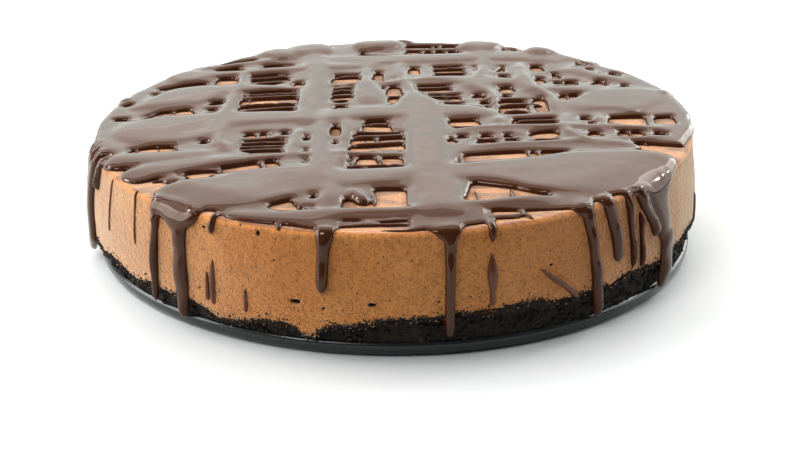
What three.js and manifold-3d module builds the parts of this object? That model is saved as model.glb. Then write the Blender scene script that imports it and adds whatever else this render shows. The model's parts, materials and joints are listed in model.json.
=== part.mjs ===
// A baked chocolate cheesecake, about 23 cm across, on the steel base of its springform tin.
// A black biscuit-crumb crust carries the filling. Ganache is poured over the top in crossing
// bands that leave windows, and it runs over the rim and down the side in drips.
// Millimetres, +Z up. The origin is the centre of the tin base's underside, and -Y is the front.
// Angles round the cake are measured from the front, positive towards +X.

import * as THREE from 'three';
import { mergeVertices } from 'three/addons/utils/BufferGeometryUtils.js';
import Module from 'manifold-3d';

// Tin base
const TIN_RADIUS = 115.5;
const TIN_SHEET = 2;
const LIP_HEIGHT = 5.2;
const LIP_WIDTH = 2.3;

// Crust
const CRUST_FOOT_RADIUS = TIN_RADIUS - LIP_WIDTH - 0.4;
const CRUST_RADIUS = 114.4;
const CRUST_DEPTH = 10;
const CRUST_FLAT_RADIUS = 104;
const CRUMB_RELIEF = 0.55;

// Filling
const LAYER_GAP = 0.3;
const TOP_HEIGHT = 44;
const TOP_SLOPE = 0.0173;
const TOP_RADIUS = 111.8;
const RIM_ROUND = 2.6;
const WALL_BELLY = 2.6;
const BELLY_HEIGHT = 18;

// Ganache
const GANACHE_HEIGHT = 2.9;
const EDGE_STEP = 0.9;
const EDGE_DROP = 1.1;
const SHEET_OVERHANG = 0.9;
const CORNER_ROUND = 1;
const CORNER_STEPS = 8;
const OUTLINE_TOLERANCE = 0.3;
const DRIP_HEIGHT = 2.4;
const EDGE_HEIGHT = 0.5;
const EDGE_LEAN = 1.1;
const ROOT_DEPTH = 1.2;
const DRIP_CLEARANCE = 0.35;
const SMALLEST_DETAIL = 0.05;

const ROUND_STEPS = 120;
const TIN_STEPS = 80;

const COLOURS = { tin: 0x2b2e2f, crust: 0x17130f, filling: 0xb07a4e };

const wasm = await Module();
wasm.setup();

const radians = THREE.MathUtils.degToRad;

function cakeTop(x) {
  return TOP_HEIGHT + TOP_SLOPE * x;
}

function bump(angle, centre, spread, height) {
  const turned = Math.atan2(Math.sin(angle - radians(centre)), Math.cos(angle - radians(centre)));
  return height * Math.exp(-((turned / radians(spread)) ** 2));
}

// Height of the line where the crust's outer edge meets the filling. The filling has sunk
// to the tin in two places at the front left, and the crust climbs highest at the front right.
function crustLine(angle) {
  const swell = 12.3 + 3.4 * Math.sin(angle + radians(8));
  const sunk = bump(angle, -27, 9, -3.6) + bump(angle, -14, 2.6, -5.4);
  const climbed = bump(angle, 14, 12, 2.2);
  const ragged = 0.6 * Math.sin(17 * angle + 1) + 0.5 * Math.sin(31 * angle + 2.2);
  return swell + sunk + climbed + ragged;
}

function crumb(angle, row) {
  const coarse = Math.sin(41 * angle + 5 * row) * Math.cos(23 * angle - 3 * row);
  const fine = Math.sin(67 * angle - 7 * row);
  return CRUMB_RELIEF * (0.7 * coarse + 0.5 * fine);
}

// Radius of the filling's side at a height: it leans out below the rim to a soft belly.
function wallRadius(angle, z) {
  const shoulder = TOP_HEIGHT - RIM_ROUND;
  const share = THREE.MathUtils.clamp((shoulder - z) / (shoulder - BELLY_HEIGHT), 0, 1);
  const uneven = 0.35 * Math.sin(3 * angle + 1) + 0.25 * Math.sin(5 * angle + 2);
  return TOP_RADIUS + RIM_ROUND + WALL_BELLY * Math.sin(share * Math.PI / 2) + uneven * share;
}

// A closed mesh with shared vertices: seams merged, and the triangles that the axis flattens dropped.
function closed(geometry) {
  const bare = geometry.clone();
  bare.deleteAttribute('normal');
  bare.deleteAttribute('uv');
  const merged = mergeVertices(bare, 1e-4);
  const corners = merged.index.array;
  const kept = [];
  for (let i = 0; i < corners.length; i += 3) {
    const [a, b, c] = [corners[i], corners[i + 1], corners[i + 2]];
    if (a !== b && b !== c && c !== a) kept.push(a, b, c);
  }
  merged.setIndex(kept);
  return merged;
}

function toSolid(geometry) {
  const mesh = closed(geometry);
  return new wasm.Manifold(new wasm.Mesh({
    numProp: 3,
    vertProperties: new Float32Array(mesh.attributes.position.array),
    triVerts: new Uint32Array(mesh.index.array),
  }));
}

function toGeometry(solid) {
  const mesh = solid.getMesh();
  const geometry = new THREE.BufferGeometry();
  geometry.setAttribute('position', new THREE.BufferAttribute(new Float32Array(mesh.vertProperties), 3));
  geometry.setIndex(new THREE.BufferAttribute(new Uint32Array(mesh.triVerts), 1));
  return geometry;
}

// The largest shell alone: a pocket that crossing bands seal is filled, and a loose scrap dropped.
function outerShell(solid) {
  return solid.decompose().reduce((a, b) => (b.volume() > a.volume() ? b : a));
}

// A body turned round +Z whose section changes with the angle. profile(angle) lists [radius, z]
// from the axis at the bottom to the axis at the top, with the same number of points each time.
function turned(profile, steps) {
  const first = profile(0).map(([r, z]) => new THREE.Vector2(r, z));
  const geometry = new THREE.LatheGeometry(first, steps).rotateX(Math.PI / 2);
  const position = geometry.attributes.position;
  for (let i = 0; i <= steps; i++) {
    const angle = 2 * Math.PI * (i % steps) / steps;
    profile(angle).forEach(([r, z], j) => {
      position.setXYZ(i * first.length + j, r * Math.sin(angle), -r * Math.cos(angle), z);
    });
  }
  return closed(geometry);
}

function tinProfile() {
  const outer = TIN_RADIUS;
  const inner = TIN_RADIUS - LIP_WIDTH;
  const round = LIP_WIDTH / 2;
  const crown = [0, 45, 90, 135, 180].map((degrees) => [
    outer - round + round * Math.cos(radians(degrees)),
    LIP_HEIGHT - round + round * Math.sin(radians(degrees)),
  ]);
  const foot = [[0, 0], [outer - 2.4, 0], [outer - 0.8, 0.9], [outer, 2.6]];
  return [...foot, ...crown, [inner, TIN_SHEET], [0, TIN_SHEET]];
}

function crustProfile(angle) {
  const line = crustLine(angle);
  const rows = [0.25, 0.6, 0.92].map((share, row) => [
    CRUST_RADIUS + crumb(angle, row),
    LIP_HEIGHT + share * (line - LIP_HEIGHT),
  ]);
  return [
    [0, TIN_SHEET],
    [CRUST_FOOT_RADIUS, TIN_SHEET],
    [CRUST_FOOT_RADIUS, LIP_HEIGHT],
    ...rows,
    [CRUST_RADIUS - 2, line],
    [CRUST_FLAT_RADIUS, CRUST_DEPTH],
    [0, CRUST_DEPTH],
  ];
}

// What the ganache has to stay off: the crust and the tin's lip, each with its clearance.
function keptClearProfile(angle) {
  const line = crustLine(angle);
  const radius = CRUST_RADIUS + CRUMB_RELIEF * 1.2 + DRIP_CLEARANCE;
  return [
    [0, -1],
    [TIN_RADIUS + DRIP_CLEARANCE, -1],
    [TIN_RADIUS + DRIP_CLEARANCE, LIP_HEIGHT + DRIP_CLEARANCE],
    [radius, LIP_HEIGHT + DRIP_CLEARANCE],
    [radius, line + LAYER_GAP / 2],
    [CRUST_RADIUS - 2, line + LAYER_GAP / 2],
    [CRUST_FLAT_RADIUS, CRUST_DEPTH + LAYER_GAP / 2],
    [0, CRUST_DEPTH + LAYER_GAP / 2],
  ];
}

function fillingProfile(angle) {
  const line = crustLine(angle) + LAYER_GAP;
  const at = (r) => cakeTop(r * Math.sin(angle));
  const shoulder = at(TOP_RADIUS) - RIM_ROUND;
  const wall = [0, 0.3, 0.6, 1].map((share) => {
    const z = line + share * (shoulder - line);
    return [wallRadius(angle, z), z];
  });
  const rim = [45, 90].map((degrees) => [
    TOP_RADIUS + RIM_ROUND * Math.cos(radians(degrees)),
    shoulder + RIM_ROUND * Math.sin(radians(degrees)),
  ]);
  return [
    [0, CRUST_DEPTH + LAYER_GAP],
    [CRUST_FLAT_RADIUS, CRUST_DEPTH + LAYER_GAP],
    [CRUST_RADIUS - 2, line],
    ...wall,
    ...rim,
    [0, TOP_HEIGHT],
  ];
}

// The cake's skin at a distance past the rim: negative over the top, positive down the side.
function skin(angle, distance) {
  const quarter = RIM_ROUND * Math.PI / 2;
  const top = (r) => cakeTop(r * Math.sin(angle));
  let [radius, z, lean] = [TOP_RADIUS + distance, 0, 0];
  if (distance <= 0) {
    z = top(radius);
  } else if (distance < quarter) {
    lean = distance / RIM_ROUND;
    radius = TOP_RADIUS + RIM_ROUND * Math.sin(lean);
    z = top(TOP_RADIUS) - RIM_ROUND * (1 - Math.cos(lean));
  } else {
    lean = Math.PI / 2;
    z = top(TOP_RADIUS) - RIM_ROUND - (distance - quarter);
    radius = wallRadius(angle, z);
  }
  const ahead = new THREE.Vector3(Math.sin(angle), -Math.cos(angle), 0);
  const place = ahead.clone().multiplyScalar(radius).setZ(z);
  const out = ahead.clone().multiplyScalar(Math.sin(lean)).setZ(Math.cos(lean));
  const side = new THREE.Vector3(Math.cos(angle), Math.sin(angle), 0);
  return { place, out, side };
}

// A strand of ganache: a six-sided cylinder bent along its stations, whose section has a flat
// crown, an edge just above the skin and a root sunk below it. Each station has a place, an
// outward and a sideways direction, and its half width and height.
function strand(stations) {
  const last = stations.length - 1;
  const geometry = new THREE.CylinderGeometry(1, 1, 1, 6, last, false, Math.PI / 6);
  const position = geometry.attributes.position;
  for (let i = 0; i < position.count; i++) {
    const station = stations[Math.round((0.5 - position.getY(i)) * last)];
    const level = Math.round(position.getZ(i));
    const lean = level === 0 ? 0 : Math.min(EDGE_LEAN, 0.35 * station.half);
    const rise = [-ROOT_DEPTH, EDGE_HEIGHT, station.height][level + 1];
    const point = station.place.clone()
      .addScaledVector(station.side, Math.sign(Math.round(position.getX(i) * 9)) * (station.half - lean))
      .addScaledVector(station.out, rise);
    position.setXYZ(i, point.x, point.y, point.z);
  }
  return toSolid(geometry);
}

// Narrows a strand to a blunt tip over its first and last stations.
function tipped(share, steps) {
  const fromEnd = Math.min(share, 1 - share) * steps;
  return fromEnd < 0.5 ? 0.55 : 1;
}

// A window seen from above: a strip through [x, y, half width] points.
function strip(points) {
  const outline = [];
  points.forEach(([x, y, half], i) => {
    const before = points[Math.max(i - 1, 0)];
    const after = points[Math.min(i + 1, points.length - 1)];
    const along = new THREE.Vector2(after[0] - before[0], after[1] - before[1]).normalize();
    outline.push([x - along.y * half, y + along.x * half]);
    outline.unshift([x + along.y * half, y - along.x * half]);
  });
  return new wasm.CrossSection([outline], 'NonZero');
}

// A slab of the ganache between two heights over the cake's sloping top.
function slab(region, bottom, top) {
  return region.extrude(top - bottom).warp((point) => {
    point[2] += bottom + cakeTop(point[0]);
  });
}

// The poured sheet: open at its windows, their corners rounded, with a stepped edge.
function sheet() {
  const rim = wasm.CrossSection.circle(TOP_RADIUS + SHEET_OVERHANG, ROUND_STEPS);
  const outline = rim.subtract(wasm.CrossSection.union(WINDOWS.map(strip)))
    .offset(-CORNER_ROUND, 'Round', 2, CORNER_STEPS)
    .offset(2 * CORNER_ROUND, 'Round', 2, CORNER_STEPS)
    .offset(-CORNER_ROUND, 'Round', 2, CORNER_STEPS)
    .simplify(OUTLINE_TOLERANCE);
  const crown = outline.offset(-EDGE_STEP, 'Miter', 2, CORNER_STEPS).simplify(OUTLINE_TOLERANCE);
  return slab(outline, -ROOT_DEPTH, GANACHE_HEIGHT - EDGE_DROP).add(slab(crown, 0, GANACHE_HEIGHT));
}

// A drip over the rim through [angle in degrees, distance past the rim, half width] points.
function drip(points, height = DRIP_HEIGHT) {
  const curve = new THREE.CatmullRomCurve3(points.map(([angle, s, half]) => new THREE.Vector3(angle, s, half)));
  const steps = Math.max(4, 2 * (points.length - 1));
  const stations = [];
  for (let i = 0; i <= steps; i++) {
    const at = curve.getPoint(i / steps);
    const narrow = tipped(i / steps, steps);
    stations.push({ ...skin(radians(at.x), at.y), half: at.z * narrow, height: height * narrow });
  }
  return strand(stations);
}

// Windows in the poured sheet, each a strip through [x, y, half width] points.
const WINDOWS = [
  // Front left
  [[-57, -28, 6], [-48, -28.5, 8.5], [-41, -29, 8.5]],
  [[-73, -12, 2.5], [-67.5, -13.5, 4.5]],
  [[-98, -32, 2.5], [-90, -32, 5], [-81, -31, 4.5]],
  [[-79, -57, 2.2], [-70, -55, 4.5], [-55, -51, 5], [-42, -48, 4.5]],
  [[-31, -43.5, 2.2], [-30, -49.5, 2.8]],
  [[-7, 0, 4.5], [-6.5, -12, 5.5], [-6, -17, 9.5], [-6.5, -38, 10]],
  [[-7, -43, 9.5], [-7, -57, 10.5]],
  [[-42, -91, 2], [-37.5, -89.5, 5.5], [-33, -89, 4.5]],
  [[-17, -90, 5], [-7, -90, 5]],
  [[-7, -85.5, 9.5], [4, -85.5, 9.5]],
  [[-18, -108, 3.5], [5, -107.5, 4.5]],
  [[-72, -65.5, 1.5], [-80, -69, 4], [-90, -76, 6], [-96, -80, 8]],
  [[-57, -15.5, 2.2], [-46, -15, 2.6]],
  [[-48, -106, 2.2], [-41, -105.5, 2.6]],
  // Front right
  [[22, -8, 7], [33, -6, 5.5]],
  [[36.5, -7, 3.5], [43, -6.5, 3.8]],
  [[46, -6.5, 5], [63, -5.5, 5.5]],
  [[51, -21.5, 2], [56, -20, 3], [62, -19.5, 3.2]],
  [[31, -27.5, 2.4], [39, -28, 3.2]],
  [[41.5, -26, 3], [47, -26.5, 3.4]],
  [[52, -28, 3.4], [61, -27.5, 4]],
  [[23.5, -46, 4], [28, -47.5, 6.5], [37, -46, 6], [50, -43, 4], [64, -41, 1.6]],
  [[25.5, -80.5, 10], [35, -82, 8], [45, -84, 6], [53, -85, 2.6]],
  [[31, -102, 5], [45, -101, 3.6], [60, -99.5, 3.6], [62, -108, 4]],
  [[75.5, -19, 2.6], [76, -28, 2.4]],
  [[84.5, -21, 3], [94, -22, 2.6]],
  [[83, -5.5, 5], [97, -6.5, 6.5]],
  [[100.5, -6, 4.5], [108, -6, 5.5]],
  [[84, -33, 1.6], [92, -36, 4], [103, -43, 9], [112, -55, 9]],
  // Back left
  [[-98, 6.5, 1.6], [-92, 11.5, 4], [-80, 15.5, 4.2]],
  [[-98, 45, 1.6], [-88, 50, 2.4], [-78, 53, 2.2]],
  [[-70.5, 61, 4], [-70.5, 50, 4.6]],
  [[-59.5, 55, 8.5], [-49, 59, 6.5], [-44, 60.5, 4]],
  [[-40, 53, 2.6], [-40, 47, 2.8]],
  [[-50.5, 42, 11], [-50.5, 8, 11.5]],
  [[-71, 39, 2.4], [-71, 33, 1.4]],
  [[-75, 24.5, 1.6], [-68, 26, 3.2]],
  [[-77, 71.5, 1.6], [-66, 75, 2.4]],
  [[-57, 76.5, 2.6], [-50, 76, 4], [-43.5, 76.5, 2.6]],
  [[-75, 80.5, 1.8], [-60, 87, 2.8]],
  [[-50, 90.5, 2.4], [-46, 89, 3]],
  [[-20, 63, 5.4], [-20, 50, 6]],
  [[-21, 46, 4.4], [-20.5, 33, 5], [-22.5, 24, 2.6]],
  [[-24, 17, 3], [-19, 16.5, 3.8]],
  [[0, 45, 2.2], [0, 34, 2.8], [0.5, 27, 2.6], [0, 19, 1]],
  // Back right
  [[5, 96, 3.6], [31, 95.5, 3.2]],
  [[5, 105.5, 2.6], [30, 105, 2.6]],
  [[17, 66, 7.4], [30, 67, 7]],
  [[60.5, 71.5, 2.6], [62, 62, 2]],
  [[77, 63.5, 2.4], [84, 61.5, 3.2]],
  [[46.5, 58, 1.8], [45.5, 52, 3.6]],
  [[9.5, 41, 4.6], [23.5, 41, 4.6]],
  [[10.5, 29, 3.4], [27, 28, 4.4]],
  [[32, 29.5, 2.6], [37, 27.5, 2.6]],
  [[36.5, 22, 2.2], [37, 18, 2.4]],
  [[43.5, 37, 3], [49, 38, 4.2]],
  [[47.5, 23, 5.4], [47.5, 4.5, 5.6]],
  [[58.5, 25, 2.6], [58.8, 14, 3.2], [60, 6, 2.4]],
  [[73.5, 48, 3], [73, 42.5, 2]],
  [[82, 42.5, 2], [87.5, 44.5, 4.4]],
  [[67, 25, 3.6], [76, 26, 3.6]],
  [[68.5, 13, 4], [79, 14, 4.6]],
];

// Drips, from the far left round the front to the right, then the far side.
const DRIPS = [
  [[-76, -8, 9], [-77, 3, 8], [-77, 18, 6], [-76, 34, 6], [-75, 42, 7]],
  [[-64, -8, 3], [-64.5, 3, 1.8], [-65, 14, 1.6]],
  [[-43, -5, 4], [-43, 3, 2.4], [-43.6, 22, 2], [-44.6, 39, 1.4]],
  [[-37.5, -5, 8], [-37.8, 3, 6.5], [-37.6, 12, 3.6], [-38.2, 26, 3.6], [-38, 43, 2.2]],
  [[-31.2, -4, 3], [-31.2, 7, 1]],
  [[-11.5, -5, 5], [-11.4, 3, 3.4], [-11.5, 12, 2.4], [-11.7, 22, 2.6]],
  [[9, -5, 8], [9, 3, 4.8], [8.8, 11, 2.4], [9, 37, 2]],
  [[15.9, -4, 2], [15.9, 5.5, 0.9]],
  [[32, -5, 8], [33, 3, 4.5], [34.6, 12, 3], [35.8, 26, 3.2], [36.3, 39, 2]],
  [[37.6, -4, 4], [38.4, 6, 3], [40.8, 24, 2.6]],
  [[43.5, -4, 2.4], [44, 6, 1.2], [44.3, 28, 0.9]],
  [[45, -4, 4], [47, 6, 2.4], [51.5, 20, 2.2]],
  [[52, -6, 9], [53.5, 3, 6], [55.2, 14, 4], [55.4, 30, 3.4], [54, 43, 3]],
  [[104, -5, 6], [104, 3, 3.6], [105, 20, 2.4]],
  [[131, -5, 6], [131, 3, 4], [130, 30, 2.6], [130, 38, 2.2]],
  [[152, -5, 5], [152, 3, 3], [153, 14, 2.2]],
  [[178, -5, 7], [178, 3, 4.4], [177, 14, 3], [177, 31, 2.4]],
  [[-158, -5, 6], [-157, 3, 3.4], [-157, 22, 2.2]],
  [[-131, -5, 8], [-131, 3, 5], [-130, 16, 3], [-130, 40, 2.4]],
  [[-106, -5, 5], [-106, 3, 3], [-107, 18, 2.2]],
];

function makeFilling() {
  const body = toSolid(turned(fillingProfile, ROUND_STEPS));
  const dressed = DRIPS.reduce((whole, points) => whole.add(drip(points)), body.add(sheet()));
  const trimmed = dressed.subtract(toSolid(turned(keptClearProfile, ROUND_STEPS)));
  return toGeometry(outerShell(trimmed.simplify(SMALLEST_DETAIL)));
}

function named(name, geometry, roughness, metalness = 0) {
  const material = new THREE.MeshStandardMaterial({ color: COLOURS[name], roughness, metalness });
  const mesh = new THREE.Mesh(geometry, material);
  mesh.name = name;
  return mesh;
}

const cheesecake = new THREE.Group();
cheesecake.add(
  named('tin', turned(tinProfile, TIN_STEPS), 0.35, 0.6),
  named('crust', turned(crustProfile, ROUND_STEPS), 0.9),
  named('filling', makeFilling(), 0.6),
);

export default cheesecake;
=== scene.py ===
import json
import math
import random

import bpy
import numpy as np
from bpy.props import FloatProperty, FloatVectorProperty, IntProperty, PointerProperty
from mathutils import Matrix, Vector, noise

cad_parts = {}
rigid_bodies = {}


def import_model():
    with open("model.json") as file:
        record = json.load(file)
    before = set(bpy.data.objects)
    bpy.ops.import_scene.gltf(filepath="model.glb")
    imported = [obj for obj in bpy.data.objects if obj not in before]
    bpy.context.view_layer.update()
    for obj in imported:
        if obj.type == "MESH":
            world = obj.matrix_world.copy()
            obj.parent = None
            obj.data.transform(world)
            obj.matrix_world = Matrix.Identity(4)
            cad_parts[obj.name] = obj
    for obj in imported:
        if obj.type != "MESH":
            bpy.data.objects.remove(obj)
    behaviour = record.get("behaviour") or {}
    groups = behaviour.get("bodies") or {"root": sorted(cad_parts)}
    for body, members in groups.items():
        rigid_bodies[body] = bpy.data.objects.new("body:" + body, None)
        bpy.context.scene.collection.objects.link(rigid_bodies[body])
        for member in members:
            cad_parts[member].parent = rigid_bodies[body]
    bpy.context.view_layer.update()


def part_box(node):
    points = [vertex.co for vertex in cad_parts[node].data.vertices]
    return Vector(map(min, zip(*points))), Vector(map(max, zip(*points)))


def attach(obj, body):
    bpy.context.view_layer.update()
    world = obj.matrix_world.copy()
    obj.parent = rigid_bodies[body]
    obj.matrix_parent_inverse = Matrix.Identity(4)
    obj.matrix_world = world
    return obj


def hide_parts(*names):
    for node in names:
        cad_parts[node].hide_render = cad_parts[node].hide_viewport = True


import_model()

bl_info = {
    "name": "Chocolate Cheesecake",
    "version": (1, 0, 0),
    "blender": (4, 5, 0),
    "location": "3D View > Sidebar > Cheesecake",
    "description": "Dresses the packed cheesecake with its tin base, crumb crust, filling and poured ganache",
    "category": "Object",
}

# The tables below are in millimetres, as in the part's own source, and MM turns them to metres.
MM = 0.001
BODY = "root"
TURN = 2 * math.pi


# Sizes and colours


def length(name, description, default):
    return FloatProperty(name=name, description=description, default=default, unit="LENGTH")


def amount(name, description, default):
    return IntProperty(name=name, description=description, default=default, min=0)


def tint(name, description, *default):
    return FloatVectorProperty(name=name, description=description, default=default, subtype="COLOR")


class CheesecakeSizes(bpy.types.PropertyGroup):
    """Sizes of the cake, its tin base and the poured chocolate."""

    tin_radius: length(
        "Tin radius", "Outer radius of the springform base over its rolled lip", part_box("tin")[1].x
    )
    lip_height: length("Lip height", "Height of the tin's rolled lip above the table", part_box("tin")[1].z)
    lip_width: length("Lip width", "Width of the rolled lip", 0.0023)
    crust_radius: length("Crust radius", "Mean outer radius of the crumb crust", 0.1144)
    top_height: length("Top height", "Height of the filling's top at the middle of the cake", 0.044)
    top_radius: length("Top radius", "Radius at which the flat top starts to round over", 0.1129)
    rim_round: length("Rim rounding", "Radius of the filling's rounded rim", 0.0015)
    ganache_height: length("Ganache thickness", "Thickness of the poured sheet on the top", 0.0026)
    drip_height: length("Drip thickness", "Thickness of a drip on the side", 0.0024)
    crumb_count: amount("Loose crumbs", "How many crumbs stand out of the crust's face", 1500)
    strewn_count: amount("Strewn crumbs", "How many small crumbs lie along the crust's upper edge", 4800)
    grain_count: amount(
        "Filling grains", "How many grains of filling lie above the crust and on the torn rim", 1500
    )


class CheesecakeColours(bpy.types.PropertyGroup):
    """Colours of the finishes."""

    filling: tint("Filling", "Baked chocolate cream cheese", 0.43, 0.153, 0.030)
    filling_pale: tint("Pale filling", "Drier, paler patches of the filling", 0.49, 0.200, 0.052)
    filling_top: tint(
        "Top of the filling", "Smoother, warmer skin on the top, seen through the windows", 0.53, 0.20, 0.064
    )
    filling_dark: tint("Dark filling", "Shaded pores of the filling's face", 0.16, 0.048, 0.010)
    # Painted shade: a near-black colour that stands in for the shade inside the filling's pits and bubbles.
    pit_shade_colour: tint("Pits in the filling", "Small open bubbles and pits", 0.03, 0.009, 0.003)
    # The torn edge under the rim has this colour; on the grains just above the crust it is painted as orange
    # highlights.
    torn_and_highlit_filling: tint(
        "Torn filling", "Torn, orange edge under the rim and grains above the crust", 0.62, 0.235, 0.055
    )
    ganache: tint("Ganache", "Poured dark chocolate", 0.037, 0.010, 0.0035)
    ganache_thin: tint(
        "Thin ganache", "Chocolate that lies so thin that the filling shows through", 0.16, 0.042, 0.014
    )
    crust: tint("Crust", "Black biscuit crumb", 0.012, 0.009, 0.0065)
    crust_light: tint("Light crumbs", "Paler grains in the crust", 0.075, 0.045, 0.024)
    tin: tint("Tin", "Dark coated steel", 0.013, 0.018, 0.0155)


def sizes():
    return bpy.context.scene.cheesecake_sizes


def colours():
    return bpy.context.scene.cheesecake_colours


# Form of the cake

# Every function takes numbers or arrays, in metres and radians. An angle is measured from the
# front, positive towards +X.

TOP_SLOPE = 0.0173
WALL_BELLY = 2.6 * MM
BELLY_HEIGHT = 18 * MM
CRUST_DEPTH = 10 * MM
CRUST_FLAT_RADIUS = 104 * MM
TIN_SHEET = 2 * MM

# The chocolate is drawn thin near the front rim. Past the rim it thins over the first distances and
# thickens again over the second. Round the cake it gets back to full over these angles, in degrees.
RIM_THINNING = 0.34
THINS_BETWEEN = (-16 * MM, -1 * MM)
THICKENS_BETWEEN = (0.5 * MM, 5 * MM)
THIN_FRONT = (54, 68)


def cake_top(x):
    """Height of the filling's top, which slopes to the right."""
    return sizes().top_height + TOP_SLOPE * x


def bump(angle, centre, spread, height):
    """A smooth swelling round the cake; centre and spread are in degrees."""
    turned = np.arctan2(np.sin(angle - math.radians(centre)), np.cos(angle - math.radians(centre)))
    return height * np.exp(-((turned / math.radians(spread)) ** 2))


def crust_line(angle):
    """Height of the crust's uneven upper edge, lowest just left of the front."""
    swell = 12.3 + 3.4 * np.sin(angle + math.radians(8))
    sunk = bump(angle, -27, 9, -3.6) + bump(angle, -14, 2.6, -5.4)
    climbed = bump(angle, 14, 12, 2.2)
    ragged = 0.6 * np.sin(17 * angle + 1) + 0.5 * np.sin(31 * angle + 2.2)
    return (swell + sunk + climbed + ragged) * MM


def wall_radius(angle, z):
    """Radius of the filling's side at a height: it swells to a soft belly below the rim."""
    shoulder = sizes().top_height - sizes().rim_round
    share = np.clip((shoulder - z) / (shoulder - BELLY_HEIGHT), 0, 1)
    uneven = (0.35 * np.sin(3 * angle + 1) + 0.25 * np.sin(5 * angle + 2)) * MM
    return sizes().top_radius + sizes().rim_round + WALL_BELLY * np.sin(share * math.pi / 2) + uneven * share


def skin(angle, distance):
    """Place and outward direction on the cake's skin at a distance past the rim."""
    angle, distance = np.broadcast_arrays(np.asarray(angle, float), np.asarray(distance, float))
    edge, rounding = sizes().top_radius, sizes().rim_round
    quarter = rounding * math.pi / 2
    lean = np.clip(distance / rounding, 0, math.pi / 2)
    flat = edge + np.minimum(distance, 0)
    rim_top = cake_top(edge * np.sin(angle))
    z = np.where(distance <= 0, cake_top(flat * np.sin(angle)), rim_top - rounding * (1 - np.cos(lean)))
    z = np.where(distance > quarter, rim_top - rounding - (distance - quarter), z)
    radius = np.where(distance > quarter, wall_radius(angle, z), flat + rounding * np.sin(lean))
    place = np.stack([radius * np.sin(angle), -radius * np.cos(angle), z], -1)
    out = np.stack([np.sin(angle) * np.sin(lean), -np.cos(angle) * np.sin(lean), np.cos(lean)], -1)
    return place, out


def over_the_top(flat, rise):
    """Lays points of the flat plan on the cake: what is past the rim bends down over it."""
    radius = np.hypot(flat[..., 0], flat[..., 1])
    angle = np.arctan2(flat[..., 0], -flat[..., 1])
    place, out = skin(angle, radius - sizes().top_radius)
    return place + out * rise[..., None]


def step_between(value, low, high):
    """0 below low, 1 above high and a smooth rise between them."""
    t = np.clip((value - low) / (high - low), 0, 1)
    return t * t * (3 - 2 * t)


def thinned(angle, distance):
    """How thin the chocolate lies near the front rim, at a distance past it: 1 is its full thickness."""
    near = step_between(distance, *THINS_BETWEEN) * (1 - step_between(distance, *THICKENS_BETWEEN))
    front = 1 - step_between(np.abs(angle), *(math.radians(end) for end in THIN_FRONT))
    return 1 - RIM_THINNING * near * front


def spline(points, count):
    """Points along a smooth curve through the given ones."""
    points = np.array(points, float)
    padded = np.vstack([2 * points[0] - points[1], points, 2 * points[-1] - points[-2]])
    at = np.linspace(0, len(points) - 1, count)
    start = np.minimum(at.astype(int), len(points) - 2)
    t = (at - start)[:, None]
    a, b, c, d = (padded[start + k] for k in range(4))
    return 0.5 * (2 * b + (c - a) * t + (2 * a - 5 * b + 4 * c - d) * t**2 + (3 * b - a - 3 * c + d) * t**3)


# Modelling helpers

MERGE_DISTANCE = 1e-6
KNOB_HEIGHT = 0.22


def clear_selection():
    if bpy.context.mode != "OBJECT":
        bpy.ops.object.mode_set(mode="OBJECT")
    bpy.ops.object.select_all(action="DESELECT")


def select_only(piece):
    clear_selection()
    piece.select_set(True)
    bpy.context.view_layer.objects.active = piece


def called(name):
    """The piece just made, under its own name."""
    piece = bpy.context.object
    piece.name = name
    piece.data.name = name
    return piece


def coordinates(piece):
    """Places of a piece's points."""
    flat = np.empty(len(piece.data.vertices) * 3)
    piece.data.vertices.foreach_get("co", flat)
    return flat.reshape(-1, 3)


def reshape(piece, places):
    """Moves a piece's points to new places."""
    piece.data.vertices.foreach_set("co", np.ascontiguousarray(places, float).ravel())
    piece.data.update()


def spun(name, outline, steps):
    """An outline of (radius, height) points, drawn by extruding one vertex, spun round the axis."""
    clear_selection()
    bpy.ops.mesh.primitive_plane_add(size=1)
    bpy.ops.object.mode_set(mode="EDIT")
    bpy.ops.mesh.select_all(action="SELECT")
    bpy.ops.mesh.merge(type="CENTER")
    bpy.ops.transform.translate(value=(0, -outline[0][0], outline[0][1]))
    for (radius, z), (next_radius, next_z) in zip(outline, outline[1:]):
        move = {"value": (0, radius - next_radius, next_z - z)}
        bpy.ops.mesh.extrude_region_move(TRANSFORM_OT_translate=move)
    bpy.ops.mesh.select_all(action="SELECT")
    bpy.ops.mesh.spin(steps=steps, angle=TURN, center=(0, 0, 0), axis=(0, 0, 1))
    bpy.ops.mesh.select_all(action="SELECT")
    bpy.ops.mesh.remove_doubles(threshold=MERGE_DISTANCE)
    bpy.ops.mesh.normals_make_consistent(inside=False)
    bpy.ops.object.mode_set(mode="OBJECT")
    return called(name)


def apply_modifier(piece, kind, **settings):
    select_only(piece)
    modifier = piece.modifiers.new(kind.title(), kind)
    for key, value in settings.items():
        setattr(modifier, key, value)
    bpy.ops.object.modifier_apply(modifier=modifier.name)


def cut_away(piece, **cutter):
    """Cuts an object, or a collection of them, out of a piece."""
    apply_modifier(piece, "BOOLEAN", operation="DIFFERENCE", solver="MANIFOLD", **cutter)


def smooth(piece):
    select_only(piece)
    bpy.ops.object.shade_smooth()


def rough(places, scale, seed):
    """Smooth noise at each place, about -1 to 1; scale is the size of its features in metres."""
    shift = Vector((seed * 3.7, seed * 1.3, seed * 5.1))
    return np.array([noise.noise(Vector(place) / scale + shift) for place in places])


def directions(places):
    """Angle round the cake and radius of each place."""
    return np.arctan2(places[:, 0], -places[:, 1]), np.hypot(places[:, 0], places[:, 1])


def round_point(angle, radius, z):
    """Places at an angle, radius and height round the cake."""
    return np.stack([radius * np.sin(angle), -radius * np.cos(angle), z], -1)


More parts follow.
